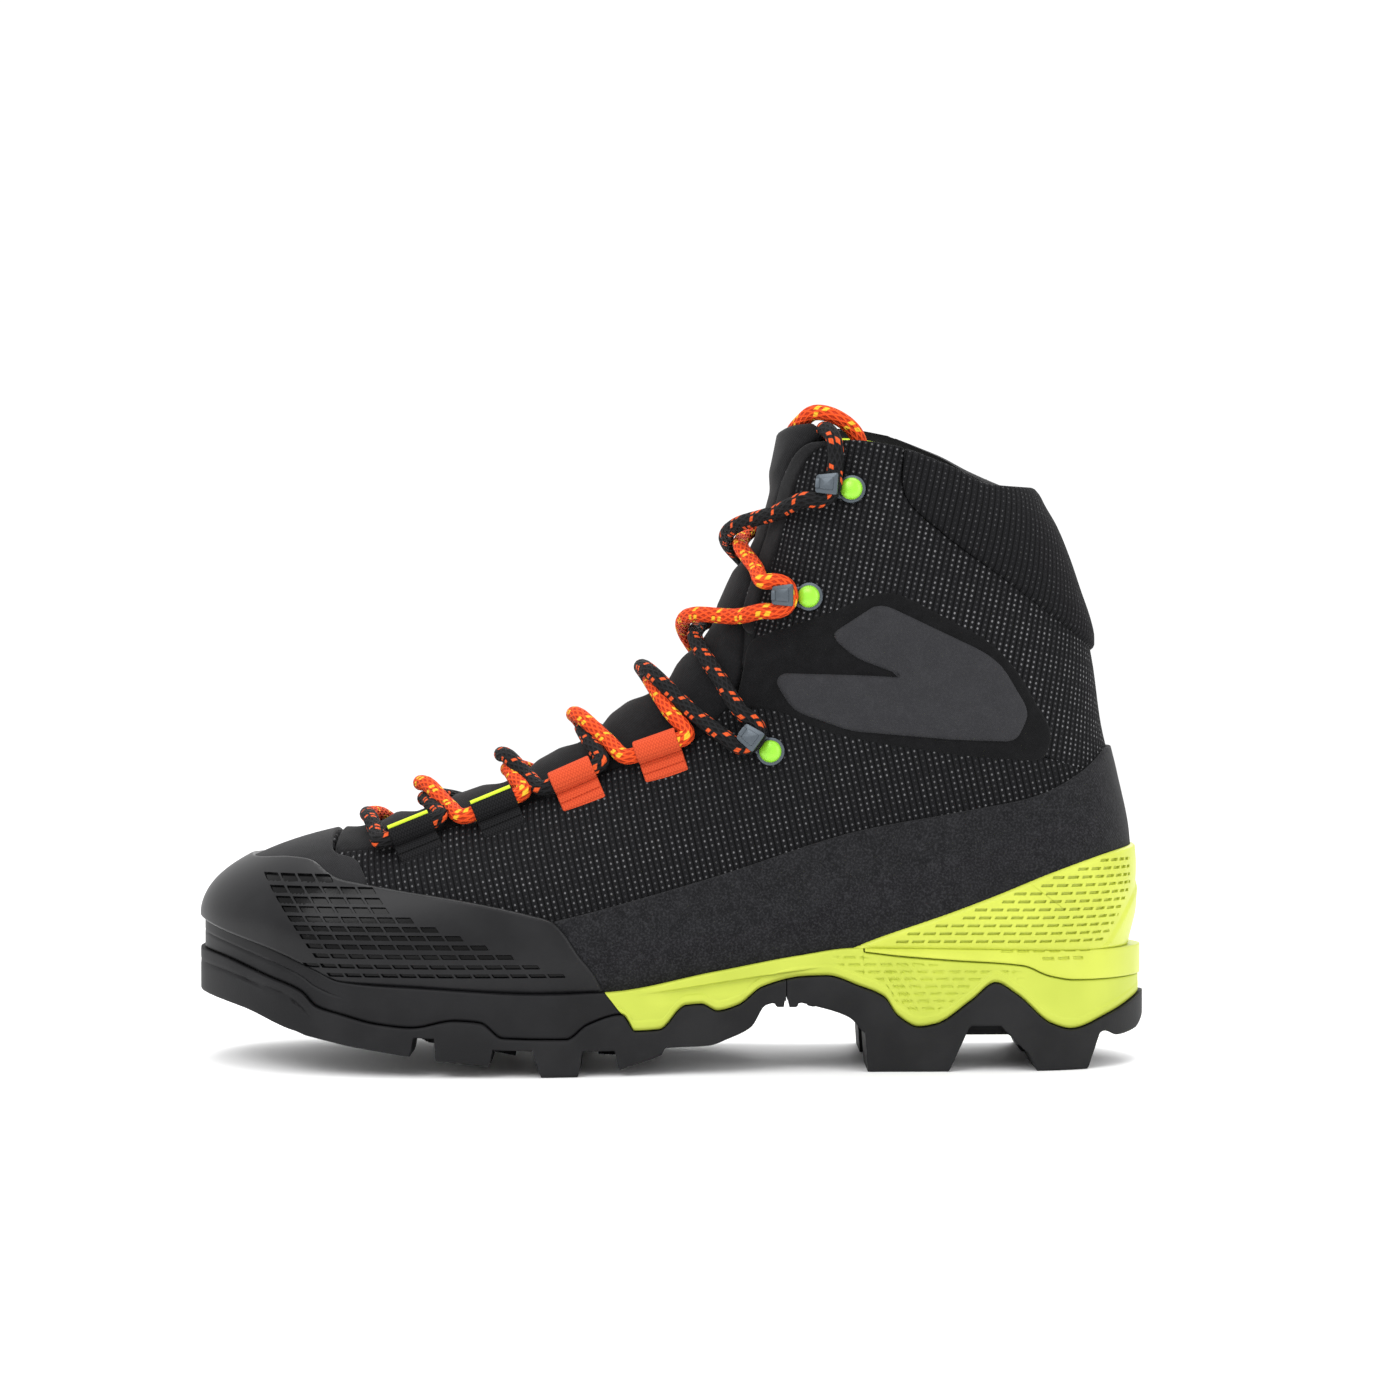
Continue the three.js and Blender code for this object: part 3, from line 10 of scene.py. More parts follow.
import bmesh
import bpy
import numpy as np
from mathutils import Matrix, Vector
from mathutils.kdtree import KDTree


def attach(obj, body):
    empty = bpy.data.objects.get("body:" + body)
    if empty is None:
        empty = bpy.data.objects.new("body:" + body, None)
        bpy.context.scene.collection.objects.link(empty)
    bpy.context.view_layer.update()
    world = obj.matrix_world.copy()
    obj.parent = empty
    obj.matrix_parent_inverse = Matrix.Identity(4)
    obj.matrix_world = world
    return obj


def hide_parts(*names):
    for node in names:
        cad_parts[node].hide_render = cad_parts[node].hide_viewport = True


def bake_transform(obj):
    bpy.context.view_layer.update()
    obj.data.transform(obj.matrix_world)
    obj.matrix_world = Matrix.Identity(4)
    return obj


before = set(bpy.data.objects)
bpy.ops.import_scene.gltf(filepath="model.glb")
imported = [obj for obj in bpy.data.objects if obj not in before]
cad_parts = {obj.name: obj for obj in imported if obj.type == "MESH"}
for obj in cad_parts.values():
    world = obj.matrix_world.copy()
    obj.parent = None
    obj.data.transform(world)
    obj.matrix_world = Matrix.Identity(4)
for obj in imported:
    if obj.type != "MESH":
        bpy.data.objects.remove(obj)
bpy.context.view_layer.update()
MM = 0.001
SIDES = {"lateral": -1, "medial": 1}

# ------------------------------------------------------------------ sizes shared with the CAD
GAP = 0.3
KNIT = 1.5
LACE_D = 5.0
LACE_R = LACE_D / 2
LOOP_WIDTH = 14.0
WEBBING = 1.0
LOOP_SEAT = 0.5
HOOK_SEAT = 0.6
HOOK_PLATE = 1.0
HOOK_WIDTH = 7.2
HOOK_REACH = 10.5
HOOK_FLAP = 7.0
STEM = 3.0
RING_R = 4.4
RIVET_R = 3.5
RIVET_DOME = 2.2
MIDSOLE_INSET = 1.4
CRADLE_INSET = 0.8
LUG_WIDTH = 19
HEEL_LUG_WIDTH = 25
CHANNEL_DEPTH = 11
SOLE_SPLIT = 36.4

# ------------------------------------------------------------------ sizes of the visual model
SOFT_CELL = 1.7  # grid of the last under cloth and foam
FINE_CELL = 1.25  # and under the rand and the heel cup, with their windows and slots
ROUND_SIDES = 16  # of the lace
TOE_BAR = -97.5  # where the lace first crosses the tongue


# ------------------------------------------------------------------ curves
def curve_through(points):
    """A smooth curve through (t, value) points that never overshoots them."""
    t, v = np.array(points, float).T
    h = np.diff(t)
    slope = np.diff(v) / h
    tangent = np.r_[slope[0], np.zeros(len(t) - 2), slope[-1]]
    for i in range(1, len(t) - 1):
        if slope[i - 1] * slope[i] > 0:
            w1, w2 = 2 * h[i] + h[i - 1], h[i] + 2 * h[i - 1]
            tangent[i] = (w1 + w2) / (w1 / slope[i - 1] + w2 / slope[i])

    def value(x):
        x = np.asarray(x, float)
        i = np.clip(np.searchsorted(t, x, side="right") - 1, 0, len(t) - 2)
        u = (x - t[i]) / h[i]
        inner = ((2 * u**3 - 3 * u**2 + 1) * v[i] + (u**3 - 2 * u**2 + u) * h[i] * tangent[i]
                 + (3 * u**2 - 2 * u**3) * v[i + 1] + (u**3 - u**2) * h[i] * tangent[i + 1])
        low = v[0] + tangent[0] * (x - t[0])
        high = v[-1] + tangent[-1] * (x - t[-1])
        return np.where(x <= t[0], low, np.where(x >= t[-1], high, inner))

    return value


def smooth(low, high, t):
    u = np.clip((np.asarray(t, float) - low) / (high - low), 0, 1)
    return u * u * (3 - 2 * u)


def bend(points, step=1.5, closed=False):
    """A smooth run through the points (centripetal Catmull-Rom), with a point every step or so."""
    p = np.array(points, float)
    n = len(p)
    if closed:
        p = np.vstack([p[-1], p, p[0], p[1]])
    else:
        p = np.vstack([2 * p[0] - p[1], p, 2 * p[-1] - p[-2]])
    out = []
    for i in range(1, len(p) - 2):
        a, b, c, d = p[i - 1:i + 3]
        t0 = 0
        t1 = t0 + max(np.linalg.norm(b - a), 1e-6) ** 0.5
        t2 = t1 + max(np.linalg.norm(c - b), 1e-6) ** 0.5
        t3 = t2 + max(np.linalg.norm(d - c), 1e-6) ** 0.5
        count = max(1, int(math.ceil(np.linalg.norm(c - b) / step)))
        t = np.linspace(t1, t2, count, endpoint=False)[:, None]
        a1 = (t1 - t) / (t1 - t0) * a + (t - t0) / (t1 - t0) * b
        a2 = (t2 - t) / (t2 - t1) * b + (t - t1) / (t2 - t1) * c
        a3 = (t3 - t) / (t3 - t2) * c + (t - t2) / (t3 - t2) * d
        b1 = (t2 - t) / (t2 - t0) * a1 + (t - t0) / (t2 - t0) * a2
        b2 = (t3 - t) / (t3 - t1) * a2 + (t - t1) / (t3 - t1) * a3
        out.append((t2 - t) / (t2 - t1) * b1 + (t - t1) / (t2 - t1) * b2)
    if not closed:
        out.append(p[n:n + 1])
    return np.vstack(out)


def unit(v):
    return v / np.linalg.norm(v)


def rounded_corners(corners, radius, count=4):
    """A closed outline with each corner rounded."""
    corners = np.array(corners, float)
    out = []
    n = len(corners)
    for i in range(n):
        before, at, after = corners[i - 1], corners[i], corners[(i + 1) % n]
        a, b = unit(before - at), unit(after - at)
        reach = min(radius, np.linalg.norm(before - at) * 0.45, np.linalg.norm(after - at) * 0.45)
        p0, p1 = at + a * reach, at + b * reach
        for k in range(count + 1):
            t = k / count
            out.append((1 - t) ** 2 * p0 + 2 * t * (1 - t) * at + t * t * p1)
    return np.array(out)


def ring_of(*runs):
    """One closed outline from several runs."""
    return np.vstack([np.array(run, float) for run in runs])


def distance_in(outline, x, z):
    """Signed distance of side-view points to a closed outline, positive inside."""
    x, z = np.asarray(x, float), np.asarray(z, float)
    best = np.full(x.shape, 1e9)
    inside = np.zeros(x.shape, bool)
    for (ax, az), (bx, bz) in zip(outline, np.roll(outline, -1, axis=0)):
        dx, dz = bx - ax, bz - az
        square = dx * dx + dz * dz
        if square < 1e-12:
            continue
        t = np.clip(((x - ax) * dx + (z - az) * dz) / square, 0, 1)
        best = np.minimum(best, np.hypot(x - ax - t * dx, z - az - t * dz))
        if az != bz:
            inside ^= ((az > z) != (bz > z)) & (x < (bx - ax) * (z - az) / (bz - az) + ax)
    return np.where(inside, best, -best)


# ------------------------------------------------------------------ the last
feather = curve_through([[-154, 47], [-143, 43.6], [-124, 38.3], [-109, 32], [-102, 29],
                         [-76, 27.2], [-38, 25.3], [-20, 25.6], [14, 31.4], [40, 36.1],
                         [58, 38.4], [90, 38], [152, 37]])
ridge = curve_through([[-156, 66], [-134, 68.3], [-112, 72], [-85, 78.6], [-56, 88], [-30, 101.5],
                       [-9.5, 116], [0, 122.5], [8.8, 133], [15.6, 143.5], [20, 153], [24.4, 162],
                       [29.5, 174], [33.5, 189], [37, 206], [45, 245], [60, 310], [90, 380],
                       [160, 480]])
heel_back = curve_through([[20, 144], [36, 144], [50, 146.6], [62, 147.2], [72, 146.6],
                           [92, 142.6], [108, 138.8], [128, 136], [140, 133.4], [150, 130],
                           [160, 126.6], [170, 122.5], [178, 118], [196, 111], [220, 104]])
foot_width = curve_through([[-156, 40], [-140, 42], [-120, 46.5], [-95, 50], [-72, 51],
                            [-45, 47.5], [-15, 41.5], [15, 37], [45, 35], [80, 34.6],
                            [110, 35.2], [150, 35.5]])
shaft_width = curve_through([[40, 36], [70, 35.5], [95, 36.5], [130, 37.5], [150, 39],
                             [170, 39.5], [190, 38], [220, 37]])
foot_centre = curve_through([[-156, 8.5], [-140, 7], [-120, 4.5], [-95, 1.5], [-70, 0],
                             [-40, -3], [-10, -4.5], [20, -3.8], [50, -2.3], [80, -1],
                             [110, 0], [156, 0]])
TOE, TOE_RADIUS, TOE_POWER = -150.6, 46, 2.6
CROWN, FULLNESS, HEEL_RADIUS, HEEL_POWER = 2.5, 2.15, 40, 2.3
UNDER = 3  # the last runs on below the feather line


def toe_share(x):
    return np.clip(1 - (x - TOE) / TOE_RADIUS, 0, 1)


def half_width(x, z):
    base = feather(x) - UNDER
    rise = np.clip((z - base) / (ridge(x) - base), 0, 1)
    heel = np.clip(1 - (heel_back(z) - x) / HEEL_RADIUS, 0, 1)
    width = foot_width(x) + (shaft_width(z) - foot_width(x)) * smooth(55, 110, z)
    crown = np.maximum(0, 1 - toe_share(x) ** TOE_POWER - rise ** CROWN) ** (1 / FULLNESS)
    back = np.maximum(0, 1 - heel ** HEEL_POWER) ** (1 / HEEL_POWER)
    return width * crown * back * (0.94 + 0.06 * smooth(0, 14, z - base))


def ridge_height(x):
    base = feather(x) - UNDER
    return base + (ridge(x) - base) * np.maximum(0, 1 - toe_share(x) ** TOE_POWER) ** (1 / CROWN)


def surface_y(x, z, side):
    return foot_centre(x) * (1 - smooth(50, 130, z)) + side * half_width(x, z)


def last_point(x, z, side):
    x, z = np.asarray(x, float), np.asarray(z, float)
    return np.stack(np.broadcast_arrays(x, surface_y(x, z, side), z), -1)


# Rows of the last, from the toe to the collar: ridge x, bottom x, and z on the heel's back.
SECTIONS = [[-150.2, -148.5, None], [-148.5, -142, None], [-144, -130, None],
            [-134, -114, None], [-116, -95, None], [-95, -70, None], [-70, -38, None],
            [-42, 0, None], [-20, 42, None], [0, 85, None], [8, 118, None], [10.5, 136, None],
            [12.5, 0, 34], [15.5, 0, 60], [20, 0, 95], [27, 0, 128], [32, 0, 158],
            [35, 0, 188], [38, 0, 214]]
CLOSED_FROM = 12  # the first row that closes on the heel's back
TOE_TIP = (-150.45, 44.0)


def row_ends(s):
    """Bottom and ridge points, in the side view, of the row at a fractional section number."""
    if s < 0:
        low, top = row_ends(0.0)
        tip = np.array(TOE_TIP)
        return tip + (low - tip) * (s + 1), tip + (top - tip) * (s + 1)
    i = min(int(s), len(SECTIONS) - 2)
    share = s - i
    (r0, x0, z0), (r1, x1, z1) = SECTIONS[i], SECTIONS[i + 1]
    ridge_x = r0 + (r1 - r0) * share
    if z0 is not None:
        z = z0 + (z1 - z0) * share
        low = np.array([float(heel_back(z)), z])
    else:
        a = np.array([x0, float(feather(x0)) - UNDER])
        b = np.array([x1, float(feather(x1)) - UNDER]) if z1 is None else np.array(
            [float(heel_back(z1)), z1])
        low = a + (b - a) * share
    return low, np.array([ridge_x, float(ridge_height(ridge_x))])


def row_points(s, half_columns, samples=90):
    low, top = row_ends(s)
    t = (1 - np.cos(np.pi * np.linspace(0, 1, samples + 1))) / 2
    fine = low + (top - low) * t[:, None]
    points = last_point(fine[:, 0], fine[:, 1], -1)
    run = np.r_[0, np.cumsum(np.linalg.norm(np.diff(points, axis=0), axis=1))]
    target = np.linspace(0, run[-1], half_columns + 1)
    return np.stack([np.interp(target, run, fine[:, k]) for k in (0, 1)], -1)


def both_sides(half):
    """Points over the lateral half of a row and back down the medial one."""
    lateral = last_point(half[:, 0], half[:, 1], -1)
    medial = last_point(half[::-1, 0], half[::-1, 1], 1)[1:]
    return np.vstack([lateral, medial])


def last_grid(cell, first=-0.9, last=float(len(SECTIONS) - 1)):
    """The last as triangles: side-view places, points, normals and texture places."""
    stops = [first] + [float(k) for k in range(int(math.floor(first)) + 1, int(last) + 1)]
    stops += [last] if stops[-1] < last else []
    rows = []
    for a, b in zip(stops, stops[1:]):
        ends = [np.vstack(row_ends(s)) for s in (a, b)]
        reach = np.linalg.norm(ends[1] - ends[0], axis=1).max()
        rows += list(np.linspace(a, b, max(1, int(math.ceil(reach / cell))), endpoint=False))
    rows.append(last)
    half_columns = int(math.ceil(130 / cell))
    columns = 2 * half_columns
    places, points = [], []
    for s in rows:
        half = row_points(s, half_columns)
        places.append(np.vstack([half, half[::-1][1:]]))
        points.append(both_sides(half))
    places, points = np.array(places), np.array(points)
    n = len(rows)
    i, j = np.meshgrid(np.arange(n - 1), np.arange(columns), indexing="ij")
    a = (i * (columns + 1) + j).ravel()
    b, c, d = a + 1, a + columns + 1, a + columns + 2
    tris = np.vstack([np.c_[a, d, b], np.c_[a, c, d]])
    points = points.reshape(-1, 3)
    normals = vertex_normals(points, tris)
    grid_normals = normals.reshape(n, columns + 1, 3)
    closed = np.array(rows) >= CLOSED_FROM
    seam = grid_normals[closed, 0] + grid_normals[closed, -1]
    seam /= np.linalg.norm(seam, axis=1)[:, None]
    grid_normals[closed, 0] = grid_normals[closed, -1] = seam
    normals = grid_normals.reshape(-1, 3)
    places = places.reshape(-1, 2)
    uv = np.c_[girth_at(places[:, 0], places[:, 1]), places[:, 1]]
    return np.hstack([points, normals, uv]), tris


def vertex_normals(points, tris):
    a, b, c = points[tris[:, 0]], points[tris[:, 1]], points[tris[:, 2]]
    face = np.cross(b - a, c - a)
    total = np.zeros_like(points)
    for k in range(3):
        np.add.at(total, tris[:, k], face)
    return total / np.maximum(np.linalg.norm(total, axis=1), 1e-12)[:, None]


GIRTH_X = np.linspace(-152, 148, 301)
GIRTH_Z = np.linspace(20, 216, 99)
GIRTH_START = 232  # its column at x = 80


def girth_table():
    """Length round the boot at each height, measured from x = 80, for laying out textures."""
    x, z = np.meshgrid(GIRTH_X, GIRTH_Z)
    w = half_width(x, z)
    run = np.hypot(np.diff(x, axis=1), np.minimum(np.abs(np.diff(w, axis=1)), 6))
    run = np.hstack([np.zeros((len(GIRTH_Z), 1)), np.cumsum(run, axis=1)])
    return run - run[:, [GIRTH_START]]


GIRTH = girth_table()


def girth_at(x, z):
    i = np.clip((x - GIRTH_X[0]) / (GIRTH_X[1] - GIRTH_X[0]), 0, len(GIRTH_X) - 1.001)
    j = np.clip((z - GIRTH_Z[0]) / (GIRTH_Z[1] - GIRTH_Z[0]), 0, len(GIRTH_Z) - 1.001)
    i0, j0 = i.astype(int), j.astype(int)
    u, v = i - i0, j - j0
    return ((GIRTH[j0, i0] * (1 - u) + GIRTH[j0, i0 + 1] * u) * (1 - v)
            + (GIRTH[j0 + 1, i0] * (1 - u) + GIRTH[j0 + 1, i0 + 1] * u) * v)


# ------------------------------------------------------------------ cutting skins out of the last
def split(table, tris, field):
    """Cuts every triangle along field = 0. Rows of the table are mixed along the cut edges."""
    above = field > 0
    count = above[tris].sum(1)
    crossing = (count == 1) | (count == 2)
    whole, cut = tris[~crossing], tris[crossing]
    if not len(cut):
        return table, tris, field
    marks = above[cut]
    odd = np.where(marks.sum(1) == 1, marks.argmax(1), (~marks).argmax(1))
    a, b, c = np.take_along_axis(cut, (odd[:, None] + np.arange(3)) % 3, 1).T
    edges = np.sort(np.c_[np.r_[a, a], np.r_[b, c]], axis=1)
    unique, where = np.unique(edges, axis=0, return_inverse=True)
    where = where.ravel()
    f0, f1 = field[unique[:, 0]], field[unique[:, 1]]
    t = np.clip(f0 / (f0 - f1), 0.02, 0.98)[:, None]
    added = table[unique[:, 0]] * (1 - t) + table[unique[:, 1]] * t
    ids = len(table) + where
    ab, ac = ids[:len(a)], ids[len(a):]
    tris = np.vstack([whole, np.c_[a, ab, ac], np.c_[ab, b, c], np.c_[ab, c, ac]])
    return np.vstack([table, added]), tris, np.r_[field, np.zeros(len(added))]


def keep_above(table, tris, field):
    tris = tris[field[tris].max(1) > 1e-9]
    used, back = np.unique(tris, return_inverse=True)
    return table[used], back.reshape(-1, 3), field[used]


def surface_distance(table, field):
    """A side-view distance turned into one along the surface."""
    normals = table[:, 3:6]
    flat = np.hypot(normals[:, 0], normals[:, 2])
    stretch = np.sqrt(np.maximum(1 - 0.8 * flat**2, 0.09))
    return field / stretch


COLLAR_RISE = 8.0  # the inner side of the collar stands this much higher


def collar_rise(x, y, z):
    """How much higher the collar's outline lies at a place on the last."""
    share = smooth(40, 54, x) * (1 - smooth(95, 119, x)) * smooth(148, 186, z)
    return COLLAR_RISE * share * (np.asarray(y) > 0)


def cut_skin(grid, outline, height, rings=()):
    """The part of a grid inside an outline, drawn where the skin's outer face shows it."""
    table, tris = grid
    shown = table[:, :3] + table[:, 3:6] * height
    rise = collar_rise(shown[:, 0], shown[:, 1], shown[:, 2])
    field = distance_in(outline, shown[:, 0], shown[:, 2] - rise)
    table, tris, field = split(table, tris, field)
    table, tris, field = keep_above(table, tris, field)
    depth = surface_distance(table, field)
    for level in rings:
        together = np.c_[table, depth]
        together, tris, _ = split(together, tris, depth - level)
        table, depth = together[:, :-1], together[:, -1]
    return table, tris, depth


def rounded(depth, radius, low=0.3):
    """Height share of a skin near its edge: low at the edge, full at the radius."""
    u = np.clip(depth / radius, 0, 1)
    return low + (1 - low) * np.sqrt(1 - (1 - u) ** 2)


def close_skin(table, tris, outer, inner):
    """A closed shell between two heights over the last. Returns points, faces and textures."""
    normals = table[:, 3:6] / np.maximum(np.linalg.norm(table[:, 3:6], axis=1), 1e-9)[:, None]
    top = table[:, :3] + normals * np.asarray(outer)[..., None]
    under = table[:, :3] + normals * np.asarray(inner)[..., None]
    n = len(table)
    edges = np.vstack([tris[:, [0, 1]], tris[:, [1, 2]], tris[:, [2, 0]]])
    key = edges[:, 0].astype(np.int64) * n + edges[:, 1]
    back = edges[:, 1].astype(np.int64) * n + edges[:, 0]
    open_edges = edges[~np.isin(key, back)]
    a, b = open_edges.T
    wall = np.vstack([np.c_[b, a, a + n], np.c_[b, a + n, b + n]])
    faces = np.vstack([tris, tris[:, ::-1] + n, wall])
    return np.vstack([top, under]), faces, np.vstack([table[:, 6:8], table[:, 6:8]])


# ------------------------------------------------------------------ making objects
def make_object(name, points, faces, uv=None, weld=0.004, sharp=38):
    """A mesh object from millimetre points, with doubles welded and smooth faces."""
    mesh = bpy.data.meshes.new(name)
    faces = np.asarray(faces)
    mesh.vertices.add(len(points))
    mesh.vertices.foreach_set("co", (np.asarray(points, float) * MM).ravel())
    size = faces.shape[1]
    mesh.loops.add(faces.size)
    mesh.loops.foreach_set("vertex_index", faces.ravel().astype(np.int32))
    mesh.polygons.add(len(faces))
    mesh.polygons.foreach_set("loop_start", np.arange(0, faces.size, size, dtype=np.int32))
    mesh.update(calc_edges=True)
    if uv is not None:
        layer = mesh.uv_layers.new(name="UVMap")
        layer.data.foreach_set("uv", (np.asarray(uv)[faces.ravel()] * MM).ravel())
    if weld:
        bm = bmesh.new()
        bm.from_mesh(mesh)
        bmesh.ops.remove_doubles(bm, verts=bm.verts, dist=weld * MM)
        bmesh.ops.dissolve_degenerate(bm, edges=bm.edges, dist=1e-7)
        bm.to_mesh(mesh)
        bm.free()
    mesh.validate()
    mesh.shade_smooth()
    mesh.set_sharp_from_angle(angle=math.radians(sharp))
    piece = bpy.data.objects.new(name, mesh)
    bpy.context.scene.collection.objects.link(piece)
    return piece


def dress(piece, material, body=None, nodes=()):
    """Gives a piece its material and its body (None bakes its transform and attaches it to none),
    and hides the CAD nodes it replaces.
    """
    for m in material if isinstance(material, (list, tuple)) else [material]:
        piece.data.materials.append(m)
    if body:
        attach(piece, body)
    else:
        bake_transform(piece)
    if nodes:
        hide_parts(*nodes)
    return piece


# ------------------------------------------------------------------ camera, light and floor
CAMERA_PLACE = (0.0096, -1.0, 0.1286)
CAMERA_TILT = 89.24
CAMERA_LENS, CAMERA_SENSOR = 79.457, 36

camera_data = bpy.data.cameras.new("camera")
camera_data.lens = CAMERA_LENS
camera_data.sensor_width = CAMERA_SENSOR
camera = bpy.data.objects.new("camera", camera_data)
camera.location = CAMERA_PLACE
camera.rotation_euler = (math.radians(CAMERA_TILT), 0, 0)
bpy.context.scene.collection.objects.link(camera)
bpy.context.scene.camera = camera


def area_light(name, place, target, size, watts):
    data = bpy.data.lights.new(name, "AREA")
    data.shape = "RECTANGLE"
    data.size, data.size_y = size
    data.energy = watts
    light = bpy.data.objects.new(name, data)
    light.location = place
    aim = Vector(target) - Vector(place)
    light.rotation_euler = aim.to_track_quat("-Z", "Y").to_euler()
    bpy.context.scene.collection.objects.link(light)


area_light("key", (-0.55, -0.9, 1.1), (0, 0, 0.08), (0.8, 0.8), 9)
area_light("fill", (0.9, -0.7, 0.5), (0, 0, 0.08), (0.6, 0.9), 3.5)
area_light("top", (0.0, 0.15, 1.3), (0, 0, 0.05), (1.2, 0.8), 10)
area_light("back", (0.3, 1.0, 0.7), (0, 0, 0.1), (0.9, 0.6), 5)

world = bpy.data.worlds.new("studio")
world.use_nodes = True
sky = world.node_tree.nodes["Background"]
sky.inputs["Color"].default_value = (1, 1, 1, 1)
sky.inputs["Strength"].default_value = 1.08
bpy.context.scene.world = world
bpy.context.scene.view_settings.view_transform = "Standard"


FLOOR_SIZE, FLOOR_FRONT, FLOOR_LEVEL = 14000, -3000, -0.05


def studio_floor():
    """A wide pale floor under the boot."""
    corners = [[-FLOOR_SIZE, FLOOR_FRONT, FLOOR_LEVEL], [FLOOR_SIZE, FLOOR_FRONT, FLOOR_LEVEL],
               [FLOOR_SIZE, FLOOR_SIZE, FLOOR_LEVEL], [-FLOOR_SIZE, FLOOR_SIZE, FLOOR_LEVEL]]
    floor = make_object("floor", corners, [[0, 1, 2], [0, 2, 3]], weld=0)
    paint = bpy.data.materials.new("floor_paint")
    paint.use_nodes = True
    shader = paint.node_tree.nodes["Principled BSDF"]
    shader.inputs["Roughness"].default_value = 0.5
    shader.inputs["Specular IOR Level"].default_value = 0.3
    cloud = paint.node_tree.nodes.new("ShaderNodeTexNoise")
    cloud.inputs["Scale"].default_value = 2.0
    ramp = paint.node_tree.nodes.new("ShaderNodeMix")
    ramp.data_type = "RGBA"
    ramp.inputs[6].default_value = (0.96, 0.96, 0.96, 1)
    ramp.inputs[7].default_value = (0.98, 0.98, 0.98, 1)
    paint.node_tree.links.new(cloud.outputs[0], ramp.inputs[0])
    paint.node_tree.links.new(ramp.outputs[2], shader.inputs["Base Color"])
    floor.data.materials.append(paint)


studio_floor()


# ------------------------------------------------------------------ materials
class Term:
    """A number or vector inside a node tree, with ordinary arithmetic."""

    def __init__(self, tree, socket):
        self.tree, self.socket = tree, socket

    def op(self, kind, *others):
        node = self.tree.nodes.new("ShaderNodeMath")
        node.operation = kind
        for i, value in enumerate((self,) + others):
            if isinstance(value, Term):
                self.tree.links.new(value.socket, node.inputs[i])
            else:
                node.inputs[i].default_value = float(value)
        return Term(self.tree, node.outputs[0])

    def __add__(self, other):
        return self.op("ADD", other)

    def __sub__(self, other):
        return self.op("SUBTRACT", other)

    def __mul__(self, other):
        return self.op("MULTIPLY", other)

    def floor(self):
        return self.op("FLOOR")

    def fract(self):
        return self.op("FRACT")

    def wave(self):
        return self.op("SINE")

    def size(self):
        return self.op("ABSOLUTE")

    def step(self, low, high):
        """Runs from 0 at low to 1 at high."""
        node = self.tree.nodes.new("ShaderNodeMapRange")
        node.interpolation_type = "SMOOTHSTEP"
        self.tree.links.new(self.socket, node.inputs[0])
        node.inputs[1].default_value, node.inputs[2].default_value = low, high
        return Term(self.tree, node.outputs[0])

    def most(self, other):
        return self.op("MAXIMUM", other)


class Finish:
    """A node material built from a few terms."""

    def __init__(self, name, color, roughness, metallic=0.0, sheen=0.0, specular=0.5):
        self.material = bpy.data.materials.new(name)
        self.material.use_nodes = True
        self.tree = self.material.node_tree
        self.shader = self.tree.nodes["Principled BSDF"]
        self.shader.inputs["Base Color"].default_value = (*color, 1)
        self.shader.inputs["Roughness"].default_value = roughness
        self.shader.inputs["Metallic"].default_value = metallic
        self.shader.inputs["Specular IOR Level"].default_value = specular
        if sheen:
            self.shader.inputs["Sheen Weight"].default_value = sheen
            self.shader.inputs["Sheen Roughness"].default_value = 0.5
        self.bump = None

    def coordinate(self):
        """Texture places in millimetres: round the piece and along it."""
        node = self.tree.nodes.new("ShaderNodeTexCoord")
        parts = self.tree.nodes.new("ShaderNodeSeparateXYZ")
        self.tree.links.new(node.outputs["UV"], parts.inputs[0])
        return [Term(self.tree, parts.outputs[k]) * (1 / MM) for k in range(2)]

    def noise(self, scale, detail=3.0, kind="Object"):
        node = self.tree.nodes.new("ShaderNodeTexCoord")
        texture = self.tree.nodes.new("ShaderNodeTexNoise")
        texture.inputs["Scale"].default_value = scale
        texture.inputs["Detail"].default_value = detail
        self.tree.links.new(node.outputs[kind], texture.inputs["Vector"])
        return Term(self.tree, texture.outputs[0])

    def mix(self, share, first, second, target="Base Color"):
        """Target runs from first to second with the share; each is a colour or a socket."""
        node = self.tree.nodes.new("ShaderNodeMix")
        node.data_type = "RGBA"
        self.tree.links.new(share.socket, node.inputs[0])
        for index, value in ((6, first), (7, second)):
            if isinstance(value, tuple):
                node.inputs[index].default_value = (*value, 1)
            else:
                self.tree.links.new(value, node.inputs[index])
        if target:
            self.tree.links.new(node.outputs[2], self.shader.inputs[target])
        return node.outputs[2]

    def value(self, term, target):
        self.tree.links.new(term.socket, self.shader.inputs[target])

    def relief(self, term, distance, strength=1.0):
        """Adds bump of a height in millimetres."""
        node = self.tree.nodes.new("ShaderNodeBump")
        node.inputs["Distance"].default_value = distance * MM
        node.inputs["Strength"].default_value = strength
        self.tree.links.new(term.socket, node.inputs["Height"])
        if self.bump:
            self.tree.links.new(self.bump, node.inputs["Normal"])
        self.bump = node.outputs[0]
        self.tree.links.new(self.bump, self.shader.inputs["Normal"])


